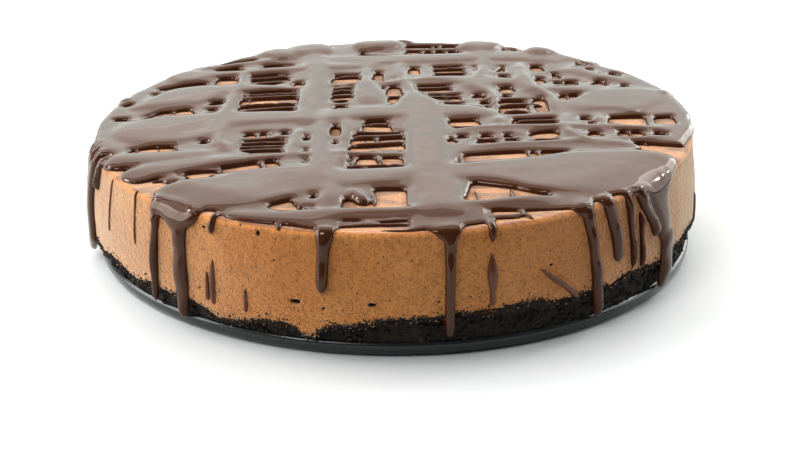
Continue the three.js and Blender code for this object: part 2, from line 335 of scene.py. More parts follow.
def lump_copy(lump, draw, size):
    """One copy of a lump of radius 1, stretched, made knobbly and turned by chance."""
    turn = draw.uniform(0, TURN)
    axis = (draw.gauss(0, 1), draw.gauss(0, 1), draw.gauss(0, 1) + 0.01)
    stretch = np.array([draw.uniform(0.7, 1.2), draw.uniform(0.6, 1.1), draw.uniform(0.55, 1.0)])
    waves = np.sin(lump * draw.uniform(2, 5) + draw.uniform(0, 6))
    knobs = 1 + KNOB_HEIGHT * waves.sum(1, keepdims=True) / 2
    return (lump * knobs * stretch * size * MM) @ np.array(Matrix.Rotation(turn, 3, axis)).T


def scattered(name, count, pick, seed, detail):
    """Copies of one rough lump; pick gives each copy's centre and its size in millimetres."""
    clear_selection()
    bpy.ops.mesh.primitive_ico_sphere_add(subdivisions=detail, radius=1)
    piece = called(name)
    lump = coordinates(piece)
    faces = np.array([list(face.vertices) for face in piece.data.polygons])
    draw = random.Random(seed)
    places = []
    for _ in range(count):
        centre, size = pick(draw)
        places.append(lump_copy(lump, draw, size) + centre)
    joined_faces = np.concatenate([faces + k * len(lump) for k in range(count)])
    piece.data.clear_geometry()
    piece.data.from_pydata(np.concatenate(places).tolist(), [], joined_faces.tolist())
    piece.data.update()
    smooth(piece)
    return piece


def joined(name, pieces):
    """Pieces made one, with their doubled points merged and their faces turned outwards."""
    clear_selection()
    for piece in pieces:
        piece.select_set(True)
    bpy.context.view_layer.objects.active = pieces[0]
    bpy.ops.object.join()
    bpy.ops.object.mode_set(mode="EDIT")
    bpy.ops.mesh.select_all(action="SELECT")
    bpy.ops.mesh.remove_doubles(threshold=MERGE_DISTANCE)
    bpy.ops.mesh.normals_make_consistent(inside=False)
    bpy.ops.object.mode_set(mode="OBJECT")
    return called(name)


def triangles(piece):
    return sum(len(face.vertices) - 2 for face in piece.data.polygons)


# Finishes


class Wire:
    """A shader socket that Python's arithmetic works on."""

    def __init__(self, finish, socket):
        self.finish = finish
        self.socket = socket

    def maths(self, operation, first, second):
        return self.finish.node("ShaderNodeMath", {"operation": operation}, {0: first, 1: second})

    def __add__(self, other):
        return self.maths("ADD", self, other)

    def __radd__(self, other):
        return self.maths("ADD", other, self)

    def __sub__(self, other):
        return self.maths("SUBTRACT", self, other)

    def __rsub__(self, other):
        return self.maths("SUBTRACT", other, self)

    def __mul__(self, other):
        return self.maths("MULTIPLY", self, other)

    def __rmul__(self, other):
        return self.maths("MULTIPLY", other, self)


class Finish:
    """A material and the few kinds of node that these finishes are made from."""

    def __init__(self, name, **uniform):
        self.material = bpy.data.materials.new(name)
        self.material.use_nodes = True
        self.tree = self.material.node_tree
        self.shader = self.tree.nodes["Principled BSDF"]
        for key, value in uniform.items():
            self.shader.inputs[key.replace("_", " ")].default_value = value
        self.place = self.node("ShaderNodeTexCoord", {}, {}, "Object")

    def node(self, kind, settings, sockets, output=0):
        made = self.tree.nodes.new(kind)
        for key, value in settings.items():
            setattr(made, key, value)
        for key, value in sockets.items():
            if isinstance(value, Wire):
                self.tree.links.new(value.socket, made.inputs[key])
            else:
                made.inputs[key].default_value = value
        return Wire(self, made.outputs[output])

    def feed(self, socket, wire):
        self.tree.links.new(wire.socket, self.shader.inputs[socket])

    def noise(self, size, detail=2.0, roughness=0.5, stretch=None):
        """Noise whose features are about the given size in metres."""
        place = self.place
        if stretch:
            place = self.node("ShaderNodeMapping", {}, {"Vector": place, "Scale": stretch})
        values = {"Vector": place, "Scale": 1 / size, "Detail": detail, "Roughness": roughness}
        return self.node("ShaderNodeTexNoise", {}, values)

    def cells(self, size):
        return self.node("ShaderNodeTexVoronoi", {}, {"Vector": self.place, "Scale": 1 / size})

    def spread(self, wire, low, high, to_low=0.0, to_high=1.0):
        """A value that goes smoothly from to_low to to_high as the wire goes from low to high."""
        values = {"Value": wire, "From Min": low, "From Max": high, "To Min": to_low, "To Max": to_high}
        return self.node("ShaderNodeMapRange", {"interpolation_type": "SMOOTHSTEP"}, values)

    def mix(self, factor, first, second):
        def colour(value):
            return value if isinstance(value, Wire) else (*value, 1.0)

        sockets = {0: factor, 6: colour(first), 7: colour(second)}
        return self.node("ShaderNodeMix", {"data_type": "RGBA"}, sockets, 2)

    def axis(self, name):
        return self.node("ShaderNodeSeparateXYZ", {}, {0: self.place}, name)

    def relief(self, wire, distance, strength):
        values = {"Height": wire, "Distance": distance, "Strength": strength}
        self.feed("Normal", self.node("ShaderNodeBump", {}, values, "Normal"))


# Heights, with the top's slope taken out, between which a look of the filling comes or goes.
NEAR_CRUST_GOES = (0.014, 0.026)
TORN_COMES = (0.0418, 0.0432)
TORN_GOES = (0.0437, 0.0440)
TOP_COMES = (0.0433, 0.0438)


def lighter(colour, times):
    return tuple(part * times for part in colour)


def filling_finish():
    """Painted highlights on the grains and painted shade in the pits just above the crust, a spongy side with
    painted shade in its pores, a torn edge under the rim and smears on the top.
    """
    shade = colours()
    finish = Finish(
        "baked_chocolate_cream",
        Roughness=0.8,
        Specular_IOR_Level=0.22,
        Sheen_Weight=0.8,
        Sheen_Roughness=0.4,
        Sheen_Tint=(0.86, 1.0, 0.9, 1.0),
    )
    height = finish.axis("Z") - finish.axis("X") * TOP_SLOPE
    near_crust = finish.spread(height, *NEAR_CRUST_GOES, 1.0, 0.0)
    torn = finish.spread(height, *TORN_COMES) * finish.spread(height, *TORN_GOES, 1.0, 0.0)
    top = finish.spread(height, *TOP_COMES)
    drifts = finish.noise(0.03, detail=3.0)
    sponge = finish.noise(0.0016, detail=4.0, roughness=0.7)
    grain = finish.noise(0.0007, detail=2.0, roughness=0.6)
    smears = finish.noise(0.006, detail=1.0, roughness=0.5, stretch=(0.4, 1, 1))
    body = finish.mix(finish.spread(drifts, 0.35, 0.65), shade.filling, shade.filling_pale)
    body = finish.mix(finish.spread(sponge, 0.36, 0.52, 0.4, 0.0), body, shade.filling_dark)
    body = finish.mix(finish.spread(grain, 0.32, 0.5, 0.6, 0.0), body, shade.filling_dark)
    # Painted highlights: orange flecks on the grains just above the crust.
    body = finish.mix(finish.spread(grain, 0.52, 0.62) * near_crust * 0.8, body, shade.torn_and_highlit_filling)
    body = finish.mix(finish.spread(sponge, 0.34, 0.5) * torn * 0.9, body, shade.torn_and_highlit_filling)
    body = finish.mix(top * 0.7, body, shade.filling_top)
    body = finish.mix(finish.spread(smears, 0.44, 0.6) * top * 0.7, body, shade.ganache_thin)
    # Painted shade: small near-black dots stand in for the shade in little pits, with more of them just above
    # the crust; the relief also dents them.
    holes = finish.cells(0.0024)
    rare = finish.noise(0.006)
    pits = finish.spread(holes, 0.12, 0.2, 1.0, 0.0) * finish.spread(rare + near_crust * 0.12, 0.52, 0.6)
    body = finish.mix(pits * 0.85, body, shade.pit_shade_colour)
    finish.feed("Base Color", body)
    finish.relief(sponge + grain * 0.7 - pits * 0.6, 0.0007, 0.9)
    return finish.material


# Painted shade for the insides of the large pits.
def pit_shade_finish():
    return Finish("painted_pit_shade", Roughness=0.9, Base_Color=(*colours().pit_shade_colour, 1)).material


def ganache_finish():
    shade = colours()
    finish = Finish(
        "poured_ganache",
        Roughness=0.1,
        Specular_IOR_Level=0.36,
        Specular_Tint=(1.0, 0.82, 0.67, 1.0),
    )
    ripple = finish.noise(0.012, detail=1.0)
    finish.feed("Base Color", finish.mix(ripple, shade.ganache, lighter(shade.ganache, 1.35)))
    finish.relief(ripple, 0.0008, 0.25)
    return finish.material


def thin_ganache_finish():
    finish = Finish("thin_ganache", Roughness=0.22, Specular_IOR_Level=0.34)
    finish.feed("Base Color", finish.mix(finish.noise(0.003), colours().ganache, colours().ganache_thin))
    return finish.material


def crust_finish():
    shade = colours()
    finish = Finish("black_biscuit_crumb", Roughness=0.85, Specular_IOR_Level=0.3)
    grain = finish.noise(0.0012, detail=4.0, roughness=0.7)
    lumps = finish.cells(0.0018)
    pale = finish.spread(finish.noise(0.0016, detail=2.0), 0.66, 0.72)
    body = finish.mix(finish.spread(grain, 0.35, 0.7), shade.crust, lighter(shade.crust, 2.2))
    finish.feed("Base Color", finish.mix(pale * 0.6, body, shade.crust_light))
    finish.relief(grain + lumps * 0.8, 0.0008, 0.9)
    return finish.material


def tin_finish():
    shade = colours()
    finish = Finish("dark_coated_steel", Metallic=0.35, Specular_IOR_Level=0.6)
    wear = finish.noise(0.02, detail=3.0)
    fleck = finish.noise(0.0007, detail=2.0)
    finish.feed("Base Color", finish.mix(wear, shade.tin, lighter(shade.tin, 1.6)))
    finish.feed("Roughness", finish.spread(wear, 0.3, 0.7, 0.12, 0.24))
    finish.relief(fleck, 0.0001, 0.5)
    return finish.material


def dress(piece, material, node):
    """Gives a finished piece its material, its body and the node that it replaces."""
    piece.data.materials.clear()
    piece.data.materials.append(material)
    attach(piece, BODY)
    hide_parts(node)


# Tin base and crust

TIN_STEPS = 240
CAKE_STEPS = 720
LIP_POINTS = 12
LIP_FLATNESS = 1.35

# The tin's outer bend, from under the plate to the lip: inset from the lip's outer edge, height.
TIN_BEND = [(3, 0), (2.2, 0.05), (1.5, 0.35), (0.8, 0.9), (0.35, 1.6), (0.06, 2.5)]
# Its inside, from the lip down to the plate: inset from the lip's inner edge, height above the plate.
TIN_INSIDE = [(0, 0.6), (0.5, 0), (6, 0)]


def flatter(value):
    """Turns a circle's sine or cosine to that of a curve with flatter faces between its four ends."""
    return math.copysign(abs(value) ** LIP_FLATNESS, value)


def tin_outline():
    outer, inner = sizes().tin_radius, sizes().tin_radius - sizes().lip_width
    middle = sizes().lip_width / 2
    crown = []
    for step in range(LIP_POINTS + 1):
        turn = math.pi * step / LIP_POINTS
        across, up = flatter(math.cos(turn)), flatter(math.sin(turn))
        crown.append((outer - middle + middle * across, sizes().lip_height - middle + middle * up))
    bend = [(outer - inset * MM, z * MM) for inset, z in TIN_BEND]
    inside = [(inner - inset * MM, TIN_SHEET + z * MM) for inset, z in TIN_INSIDE]
    return [(0, 0), *bend, *crown, *inside, (0, TIN_SHEET)]


class MESH_OT_cheesecake_tin(bpy.types.Operator):
    """Adds the springform tin's base plate with its rolled lip"""

    bl_idname = "mesh.cheesecake_tin"
    bl_label = "Tin base"

    def execute(self, context):
        tin = spun("tin_base", tin_outline(), TIN_STEPS)
        smooth(tin)
        dress(tin, tin_finish(), "tin")
        return {"FINISHED"}


CRUST_ROWS = 13
CRUST_SHELF = 19 * MM
CRUST_SLACK = 0.1 * MM
CRUST_CLEARANCE = 0.02 * MM
TIN_CLEARANCE = 0.3 * MM
CRUMB_SIZES = (0.35, 0.5, 0.6, 0.75, 0.95)


def crust_outline():
    """The crust's section; the heights up its face are only marks, which are fitted to its line later."""
    floor = TIN_SHEET + CRUST_CLEARANCE
    foot = sizes().tin_radius - sizes().lip_width - TIN_CLEARANCE
    face = [(sizes().crust_radius, sizes().lip_height + row * MM) for row in range(CRUST_ROWS)]
    shelf = (sizes().crust_radius - 2 * MM, CRUST_SHELF)
    step = [(0, floor), (foot, floor), (foot, sizes().lip_height - 0.6 * MM)]
    return [*step, *face, shelf, (CRUST_FLAT_RADIUS, CRUST_DEPTH), (0, CRUST_DEPTH)]


def crumbly(places):
    """How far crumbs stand out of the crust's face."""
    coarse = rough(places, 2.6 * MM, 1)
    fine = rough(places, 1.2 * MM, 2)
    return (0.75 * coarse + 0.45 * fine) * MM


def fit_crust(crust):
    """Draws the crust's face up to its uneven line and breaks it into crumbs."""
    places = coordinates(crust)
    angle, radius = directions(places)
    lip = sizes().lip_height
    face = (radius > sizes().crust_radius - CRUST_SLACK) & (places[:, 2] > lip - CRUST_SLACK)
    share = (places[:, 2] - lip) / ((CRUST_ROWS - 1) * MM)
    line = crust_line(angle) + 0.5 * MM * rough(round_point(angle, radius, 0 * angle), 2 * MM, 3)
    z = lip - 0.4 * MM + share * (line - lip)
    stand = np.zeros(len(places))
    stand[face] = crumbly(round_point(angle, radius, z)[face])
    wanted = round_point(angle, radius + stand - 0.3 * MM, z)
    places[face] = wanted[face]
    shelf = np.isclose(places[:, 2], CRUST_SHELF, atol=1e-5) & ~face
    places[shelf, 2] = crust_line(angle[shelf])
    reshape(crust, places)


def crust_crumb(draw):
    """A crumb on the crust's face."""
    angle = draw.uniform(-math.pi, math.pi)
    z = sizes().lip_height + draw.random() ** 0.8 * (float(crust_line(angle)) - sizes().lip_height)
    size = draw.choice(CRUMB_SIZES) * draw.uniform(0.8, 1.25)
    radius = sizes().crust_radius + draw.uniform(-0.3, 0.45) * MM
    return round_point(np.array(angle), radius, np.array(z)), size


def strewn_crumb(draw):
    """A smaller crumb along the line where the filling starts."""
    angle = draw.uniform(-math.pi, math.pi)
    z = float(crust_line(angle)) + (draw.gauss(0.1, 0.5) + draw.expovariate(1.6)) * MM
    radius = float(wall_radius(angle, z)) + draw.uniform(-0.25, 0.12) * MM
    return round_point(np.array(angle), radius, np.array(z)), draw.uniform(0.2, 0.55)


class MESH_OT_cheesecake_crust(bpy.types.Operator):
    """Adds the black crumb crust, its broken outer face and the crumbs that stand out of it"""

    bl_idname = "mesh.cheesecake_crust"
    bl_label = "Crumb crust"

    def execute(self, context):
        crust = spun("crumb_crust", crust_outline(), CAKE_STEPS)
        fit_crust(crust)
        smooth(crust)
        dress(crust, crust_finish(), "crust")
        crumbs = scattered("crumbs", sizes().crumb_count, crust_crumb, seed=11, detail=2)
        dress(crumbs, crust_finish(), "crust")
        strewn = scattered("strewn_crumbs", sizes().strewn_count, strewn_crumb, seed=12, detail=1)
        dress(strewn, crust_finish(), "crust")
        return {"FINISHED"}


# Filling

WALL_ROWS = 40
RIM_ROWS = 8
TOP_RINGS = 26
ABOVE_BASE = 30 * MM
RIM_BAND = 4 * MM
TUCK = 1.6 * MM
TUCK_STEEPNESS = 30
PIT_DEPTH = 1.6
PIT_MARGIN = 0.6 * MM

# The wall's heights are lifted by this, in metres, until it is fitted, which tells it from the rest.
WALL_MARK = 1.0

# Large open pits in the filling's face: angle in degrees, height, half width, half height.
PITS = [
    (-16.1, 19.3, 2.0, 0.9), (-3.5, 20.0, 1.5, 0.8), (-22.9, 40.7, 0.7, 1.1), (-33.6, 38.8, 0.8, 0.5),
    (-34.4, 17.0, 0.7, 0.5), (-19.8, 32.5, 0.5, 0.4), (-11.4, 17.8, 0.6, 0.5), (26.6, 28.6, 0.7, 0.5),
    (25.3, 26.8, 0.6, 0.4), (7.2, 20.8, 0.5, 0.4), (112, 24, 1.4, 0.8), (165, 19, 1.6, 0.8),
    (-140, 33, 0.9, 0.6),
]


def filling_outline():
    """The filling's section at the middle of the cake's front; its wall is fitted round the cake later."""
    edge, rounding = sizes().top_radius, sizes().rim_round
    shoulder = sizes().top_height - rounding
    outline = [(0, CRUST_DEPTH), (CRUST_FLAT_RADIUS, CRUST_DEPTH)]
    for row in range(WALL_ROWS + 1):
        outline.append((edge + rounding, row / WALL_ROWS * shoulder + WALL_MARK))
    for row in range(1, RIM_ROWS + 1):
        turn = math.pi / 2 * row / RIM_ROWS
        outline.append((edge + rounding * math.cos(turn), shoulder + rounding * math.sin(turn)))
    for ring in range(1, TOP_RINGS + 1):
        outline.append((edge * (1 - ring / TOP_RINGS), sizes().top_height))
    return outline


def fit_filling(filling):
    """Fits the side to the crust's line and the belly, slopes the top and makes both slightly uneven."""
    places = coordinates(filling)
    angle, radius = directions(places)
    wall = places[:, 2] > WALL_MARK / 2
    share = (places[:, 2] - WALL_MARK) / (sizes().top_height - sizes().rim_round)
    ends = round_point(angle, radius, 0 * angle)
    line = crust_line(angle) + (0.9 * rough(ends, 2.4 * MM, 5) + 0.5 * rough(ends, 1.1 * MM, 6)) * MM
    shoulder = cake_top(sizes().top_radius * np.sin(angle)) - sizes().rim_round
    z = line + share * (shoulder - line)
    tuck = TUCK * np.clip(1 - share * TUCK_STEEPNESS, 0, 1)
    fitted = round_point(angle, wall_radius(angle, z) - tuck, z)
    places[wall] = fitted[wall]
    upper = ~wall & (places[:, 2] > ABOVE_BASE)
    places[upper, 2] += TOP_SLOPE * places[upper, 0]
    outer = wall | (upper & (radius > sizes().top_radius - RIM_BAND))
    out = round_point(angle, 1 + 0 * angle, 0 * angle)
    uneven = np.zeros(len(places))
    uneven[outer] = 0.16 * rough(places[outer], 9 * MM, 7) + 0.12 * rough(places[outer], 2.2 * MM, 8)
    places += out * (uneven * MM)[:, None]
    inner = upper & ~outer
    lift = np.zeros(len(places))
    lift[inner] = 0.2 * rough(places[inner], 12 * MM, 9)
    places[:, 2] += lift * MM
    reshape(filling, places)


def pit_cutter(angle, z, half_width, half_height):
    """A rough lump that cuts one pit out of the filling's face."""
    turned = math.radians(angle)
    radius = float(wall_radius(turned, z * MM))
    place = round_point(turned, radius, z * MM)
    clear_selection()
    bpy.ops.mesh.primitive_ico_sphere_add(
        subdivisions=3, radius=MM, location=place, rotation=(0, 0, turned)
    )
    cutter = bpy.context.object
    cutter.scale = (half_width, PIT_DEPTH, half_height)
    bpy.ops.object.transform_apply()
    wobble = rough(coordinates(cutter), 1.1 * MM, 3)
    reshape(cutter, coordinates(cutter) + wobble[:, None] * 0.3 * MM)
    return cutter


def open_pits(filling):
    """Cuts the few large pits out of the filling's face and paints shade on their insides."""
    cutter = joined("pits", [pit_cutter(*pit) for pit in PITS])
    cut_away(filling, object=cutter)
    bpy.data.objects.remove(cutter)
    filling.data.materials.append(pit_shade_finish())
    dark = len(filling.data.materials) - 1
    # The faces deep inside the pits get the painted shade.
    centres = np.empty(len(filling.data.polygons) * 3)
    filling.data.polygons.foreach_get("center", centres)
    centres = centres.reshape(-1, 3)
    angle, radius = directions(centres)
    deep = (radius < wall_radius(angle, centres[:, 2]) - PIT_MARGIN) & (radius > sizes().top_radius)
    below_rim = centres[:, 2] < cake_top(centres[:, 0]) - sizes().rim_round - PIT_MARGIN
    side = (centres[:, 2] > crust_line(angle) + 2 * MM) & below_rim
    filling.data.polygons.foreach_set("material_index", dark * (deep & side).astype(int))


def filling_grain(draw):
    """A grain of filling: just above the crust's line, or on the torn edge round the top."""
    angle = draw.uniform(-math.pi, math.pi)
    if draw.random() < 0.5:
        z = float(crust_line(angle)) + (abs(draw.gauss(0, 2.2)) - 1.2) * MM
        radius = float(wall_radius(angle, z)) + draw.uniform(-0.25, 0.05) * MM
        return round_point(np.array(angle), radius, np.array(z)), draw.uniform(0.15, 0.4)
    place, out = skin(angle, draw.uniform(0.6, 3.6) * MM)
    return place - out * 0.12 * MM, draw.uniform(0.2, 0.42)


class MESH_OT_cheesecake_filling(bpy.types.Operator):
    """Adds the baked chocolate filling with its soft belly, rounded rim and uneven lower edge"""

    bl_idname = "mesh.cheesecake_filling"
    bl_label = "Filling"

    def execute(self, context):
        filling = spun("chocolate_filling", filling_outline(), CAKE_STEPS)
        fit_filling(filling)
        smooth(filling)
        finish = filling_finish()
        dress(filling, finish, "filling")
        open_pits(filling)
        grains = scattered("filling_grains", sizes().grain_count, filling_grain, seed=23, detail=1)
        dress(grains, finish, "filling")
        return {"FINISHED"}


# Ganache

# It is modelled laid out flat, with the middle of the cake's top at the origin and whatever runs
# over the rim going straight on outwards, and then laid over the cake. The tables give points
# seen from above as x, y and half width.

# Windows, where the sheet is open down to the filling, and small chinks.
WINDOWS = [
    [(-57, -28, 6), (-48, -28.5, 8.5), (-41, -29, 8.5)], [(-73, -12, 2.5), (-67.5, -13.5, 4.5)],
    [(-98, -32, 2.5), (-90, -32, 5), (-81, -31, 4.5)],
    [(-79, -57, 2.2), (-70, -55, 4.5), (-55, -51, 5), (-42, -48, 4.5)],
    [(-31, -43.5, 2.2), (-30, -49.5, 2.8)],
    [(-7, 0, 4.5), (-6.5, -12, 5.5), (-6, -17, 9.5), (-6.5, -38, 10)], [(-7, -43, 9.5), (-7, -57, 10.5)],
    [(-42, -91, 2), (-37.5, -89.5, 5.5), (-33, -89, 4.5)], [(-17, -90, 5), (-7, -90, 5)],
    [(-7, -85.5, 9.5), (4, -85.5, 9.5)], [(-18, -108, 3.5), (5, -107.5, 4.5)],
    [(-72, -65.5, 1.5), (-80, -69, 4), (-90, -76, 6), (-96, -80, 8)],
    [(-57, -15.5, 2.2), (-46, -15, 2.6)], [(-48, -106, 2.2), (-41, -105.5, 2.6)],
    [(22, -8, 7), (33, -6, 5.5)], [(36.5, -7, 3.5), (43, -6.5, 3.8)], [(46, -6.5, 5), (63, -5.5, 5.5)],
    [(51, -21.5, 2), (56, -20, 3), (62, -19.5, 3.2)], [(31, -27.5, 2.4), (39, -28, 3.2)],
    [(41.5, -26, 3), (47, -26.5, 3.4)], [(52, -28, 3.4), (61, -27.5, 4)],
    [(23.5, -46, 4), (28, -47.5, 6.5), (37, -46, 6), (50, -43, 4), (64, -41, 1.6)],
    [(25.5, -80.5, 10), (35, -82, 8), (45, -84, 6), (53, -85, 2.6)],
    [(31, -102, 5), (45, -101, 3.6), (60, -99.5, 3.6), (62, -108, 4)],
    [(75.5, -19, 2.6), (76, -28, 2.4)], [(84.5, -21, 3), (94, -22, 2.6)],
    [(83, -5.5, 5), (97, -6.5, 6.5)], [(100.5, -6, 4.5), (108, -6, 5.5)],
    [(84, -33, 1.6), (92, -36, 4), (103, -43, 9), (112, -55, 9)],
    [(-98, 6.5, 1.6), (-92, 11.5, 4), (-80, 15.5, 4.2)],
    [(-98, 45, 1.6), (-88, 50, 2.4), (-78, 53, 2.2)], [(-70.5, 61, 4), (-70.5, 50, 4.6)],
    [(-59.5, 55, 8.5), (-49, 59, 6.5), (-44, 60.5, 4)], [(-40, 53, 2.6), (-40, 47, 2.8)],
    [(-50.5, 42, 11), (-50.5, 8, 11.5)], [(-71, 39, 2.4), (-71, 33, 1.4)],
    [(-75, 24.5, 1.6), (-68, 26, 3.2)], [(-77, 71.5, 1.6), (-66, 75, 2.4)],
    [(-57, 76.5, 2.6), (-50, 76, 4), (-43.5, 76.5, 2.6)], [(-75, 80.5, 1.8), (-60, 87, 2.8)],
    [(-50, 90.5, 2.4), (-46, 89, 3)], [(-20, 63, 5.4), (-20, 50, 6)],
    [(-21, 46, 4.4), (-20.5, 33, 5), (-22.5, 24, 2.6)], [(-24, 17, 3), (-19, 16.5, 3.8)],
    [(0, 45, 2.2), (0, 34, 2.8), (0.5, 27, 2.6), (0, 19, 1)], [(5, 96, 3.6), (31, 95.5, 3.2)],
    [(5, 105.5, 2.6), (30, 105, 2.6)], [(17, 66, 7.4), (30, 67, 7)], [(60.5, 71.5, 2.6), (62, 62, 2)],
    [(77, 63.5, 2.4), (84, 61.5, 3.2)], [(46.5, 58, 1.8), (45.5, 52, 3.6)],
    [(9.5, 41, 4.6), (23.5, 41, 4.6)], [(10.5, 29, 3.4), (27, 28, 4.4)],
    [(32, 29.5, 2.6), (37, 27.5, 2.6)], [(36.5, 22, 2.2), (37, 18, 2.4)], [(43.5, 37, 3), (49, 38, 4.2)],
    [(47.5, 23, 5.4), (47.5, 4.5, 5.6)], [(58.5, 25, 2.6), (58.8, 14, 3.2), (60, 6, 2.4)],
    [(73.5, 48, 3), (73, 42.5, 2)], [(82, 42.5, 2), (87.5, 44.5, 4.4)], [(67, 25, 3.6), (76, 26, 3.6)],
    [(68.5, 13, 4), (79, 14, 4.6)],
]

CHINKS = [
    [(-104, -40, 1.5), (-101, -36.5, 1.8)], [(-86, -37.5, 1.2), (-83, -39, 1.2)],
    [(-72, -22, 1.8), (-70, -25, 1.6)], [(-67, -30.5, 1.9), (-63, -31, 2)],
    [(-72, -61.5, 1.8), (-66, -60.5, 2)], [(-66, -42.5, 0.9), (-58, -40.5, 1.5), (-50, -38.5, 1.5)],
    [(-42.5, -12.5, 1.5), (-40, -15.5, 1.8)], [(-33.5, -17, 0.9), (-33, -21, 1.2), (-33.3, -26, 0.8)],
    [(-32.8, -34, 0.9), (-31.8, -40.5, 0.8)],
    [(-22.5, -6, 1), (-22.3, -14, 1.7), (-22, -20, 0.9), (-22, -29, 1.2)],
    [(-27, -81, 1.6), (-26.5, -85, 2)], [(-33, -94, 1.6), (-27, -93.5, 2)],
    [(-99, -54.5, 2), (-95, -54, 2.2)], [(-108.5, -19, 1.6), (-107.5, -27, 1.8)],
    [(-39, -109, 1.8), (-37, -109, 1.6)], [(-31, -111, 1.6), (-28, -111, 1.6)],
    [(23.5, -21.5, 1.7), (28, -21.5, 1.8)], [(32.5, -21.3, 1.7), (37, -21.8, 1.9)],
    [(41, -21, 1.6), (44.5, -21.5, 1.6)], [(30, -33, 1.2), (46, -33.5, 1.2)],
    [(20.5, -23, 1.8), (22, -29, 2)], [(14.3, -79, 0.9), (14.8, -85, 1.7)],
    [(67.5, -17, 1.1), (68, -24, 1.2), (69, -30, 1)], [(82.5, -25, 0.9), (82.5, -28, 0.9)],
    [(86, -26.5, 1.5), (93, -27, 1.5)], [(97.5, -22, 1.8), (102, -24, 2.1)],
    [(72, -3, 2.1), (76, -2.5, 2.1)], [(74, -9.5, 1.6), (77, -10, 1.6)],
    [(65, -12, 1.3), (66.5, -12, 1.1)], [(77.5, -41, 1.3), (77.5, -45, 1.1)],
    [(-110, 5, 1.5), (-104, 5.5, 1.5)], [(-79.5, 37, 1.3), (-79.5, 34, 1)],
    [(-78, 28, 1.6), (-76.5, 25, 1.2)], [(-75, 16.5, 1.2), (-69, 17.5, 1.2)],
    [(-99, 37, 1.5), (-96, 39, 1.2)], [(-101, 28.5, 1.5), (-97, 31.5, 1.4)],
    [(-109, 23, 1.6), (-105, 26, 1.4)], [(-6.5, 66, 1.5), (-6.5, 52, 1.8), (-2.5, 50, 1.8)],
    [(0.5, 64, 1), (0.5, 52, 1.1)], [(-10.5, 29, 1.6), (-10.5, 22, 1.6)],
    [(-4.8, 44, 0.9), (-4.8, 38, 0.8)], [(-21, 91, 1.9), (-20.3, 84, 0.9)],
    [(-14, 100, 1.7), (-13.3, 92, 0.8)], [(-14.5, 109, 1.6), (-14, 103, 1.2)],
    [(-3, 100, 1.2), (-2.6, 92, 1)], [(-3, 88, 1.5), (-2.4, 86, 1.2)], [(6.8, 88.5, 1.5), (6.6, 86, 1)],
    [(33.5, 98.5, 1.9), (34, 93.5, 1.1)], [(41.3, 100, 1.9), (40.6, 93.5, 1.6)],
    [(46.5, 98, 2), (49.5, 97.5, 2)], [(53, 97, 2.1), (57.5, 95, 2)], [(79, 75, 2), (83, 71, 2)],
    [(91, 58, 2), (94, 54, 2)], [(8.5, 72, 1.9), (8.5, 61, 2)], [(34.5, 72, 1.7), (34.8, 62, 1.3)],
    [(46.3, 71.5, 1.2), (44, 63, 2.1)], [(52.5, 73, 2), (52.8, 65, 1.7)],
    [(18.5, 55, 2.1), (18, 50, 1.4)], [(25, 55, 1.4), (28.5, 55.2, 1.4)], [(35.3, 56, 2), (35, 53, 1.3)],
    [(60.5, 53, 1.8), (62, 45, 1.5)], [(67, 59, 1.9), (68.5, 52, 1.8)],
    [(19.5, 18.5, 1.8), (28, 18.5, 2)], [(36, 15.5, 1.1), (40, 12.5, 2)],
    [(43.5, 28.5, 2.1), (47.5, 29, 1.8)], [(66, 46, 2.1), (69.5, 45, 1.6)],
    [(94.5, 41, 1.9), (94.5, 38, 1.3)], [(65.8, 37.5, 1.5), (66, 36, 1.2)],
    [(83.5, 27, 1.2), (85, 24, 1.2)], [(105, 28, 1.1), (107, 23, 0.9)],
]

# Broad bands, a little prouder than the sheet: first those from side to side, then front to back.
ROWS = [
    [(-84, -76, 3), (-72, -73, 9), (-56, -76, 17), (-38, -68, 16), (-15, -66, 10), (20, -62, 8.5),
     (40, -61, 13), (56, -64, 20), (72, -62, 22), (88, -54, 14), (102, -47, 4)],
    [(-58, -95, 3), (-44, -100, 4), (-28, -101, 6), (-8, -98.5, 3.5), (14, -97, 4), (32, -92, 3),
     (62, -89, 6)],
    [(-97, -60.5, 7), (-84, -54, 7), (-64, -46, 6), (-44, -42, 3.5), (4, -40, 2.4)],
    [(-106.5, -45, 7.5), (-90, -42, 7), (-60, -37, 5)],
    [(-110, -8, 8), (-95, -10, 16), (-80, -6, 17), (-62, 3, 10), (-30, 5, 8), (5, 9, 9), (28, 8, 8),
     (44, 0, 3)],
    [(64, 3.5, 3.2), (82, 17, 13), (97, 18, 18), (109, 12, 7)],
    [(-108, 16, 4), (-98, 23, 6.5), (-84, 34, 13), (-70, 42, 8), (-40, 46, 3)],
    [(-96, 55, 4), (-86, 63, 9), (-70, 66, 4), (-32, 73, 5.5), (0, 75, 5)],
    [(-36, 84, 6), (-14, 83, 8), (10, 84, 7.5), (45, 86, 8), (66, 83, 9), (76, 74, 6)],
    [(-82, 74, 3), (-60, 83, 3.2), (-36, 90, 4)], [(-64, 90, 3), (-50, 99, 3.5), (-36, 104, 4)],
    [(-28, 48, 2), (0, 49.5, 2), (18, 53, 4), (34, 49, 7), (56, 46, 5)],
    [(70, 68, 6), (82, 56, 5), (99, 42, 4)], [(48, 33, 2), (66, 35, 4), (92, 33, 8)],
    [(20, -13.5, 2), (62, -12.5, 3), (108, -18, 3)],
    [(19, -36, 3), (58, -31.5, 3), (76, -32, 4), (92, -38, 3)], [(66, -25, 3), (88, -29, 2), (107, -26, 2)],
]
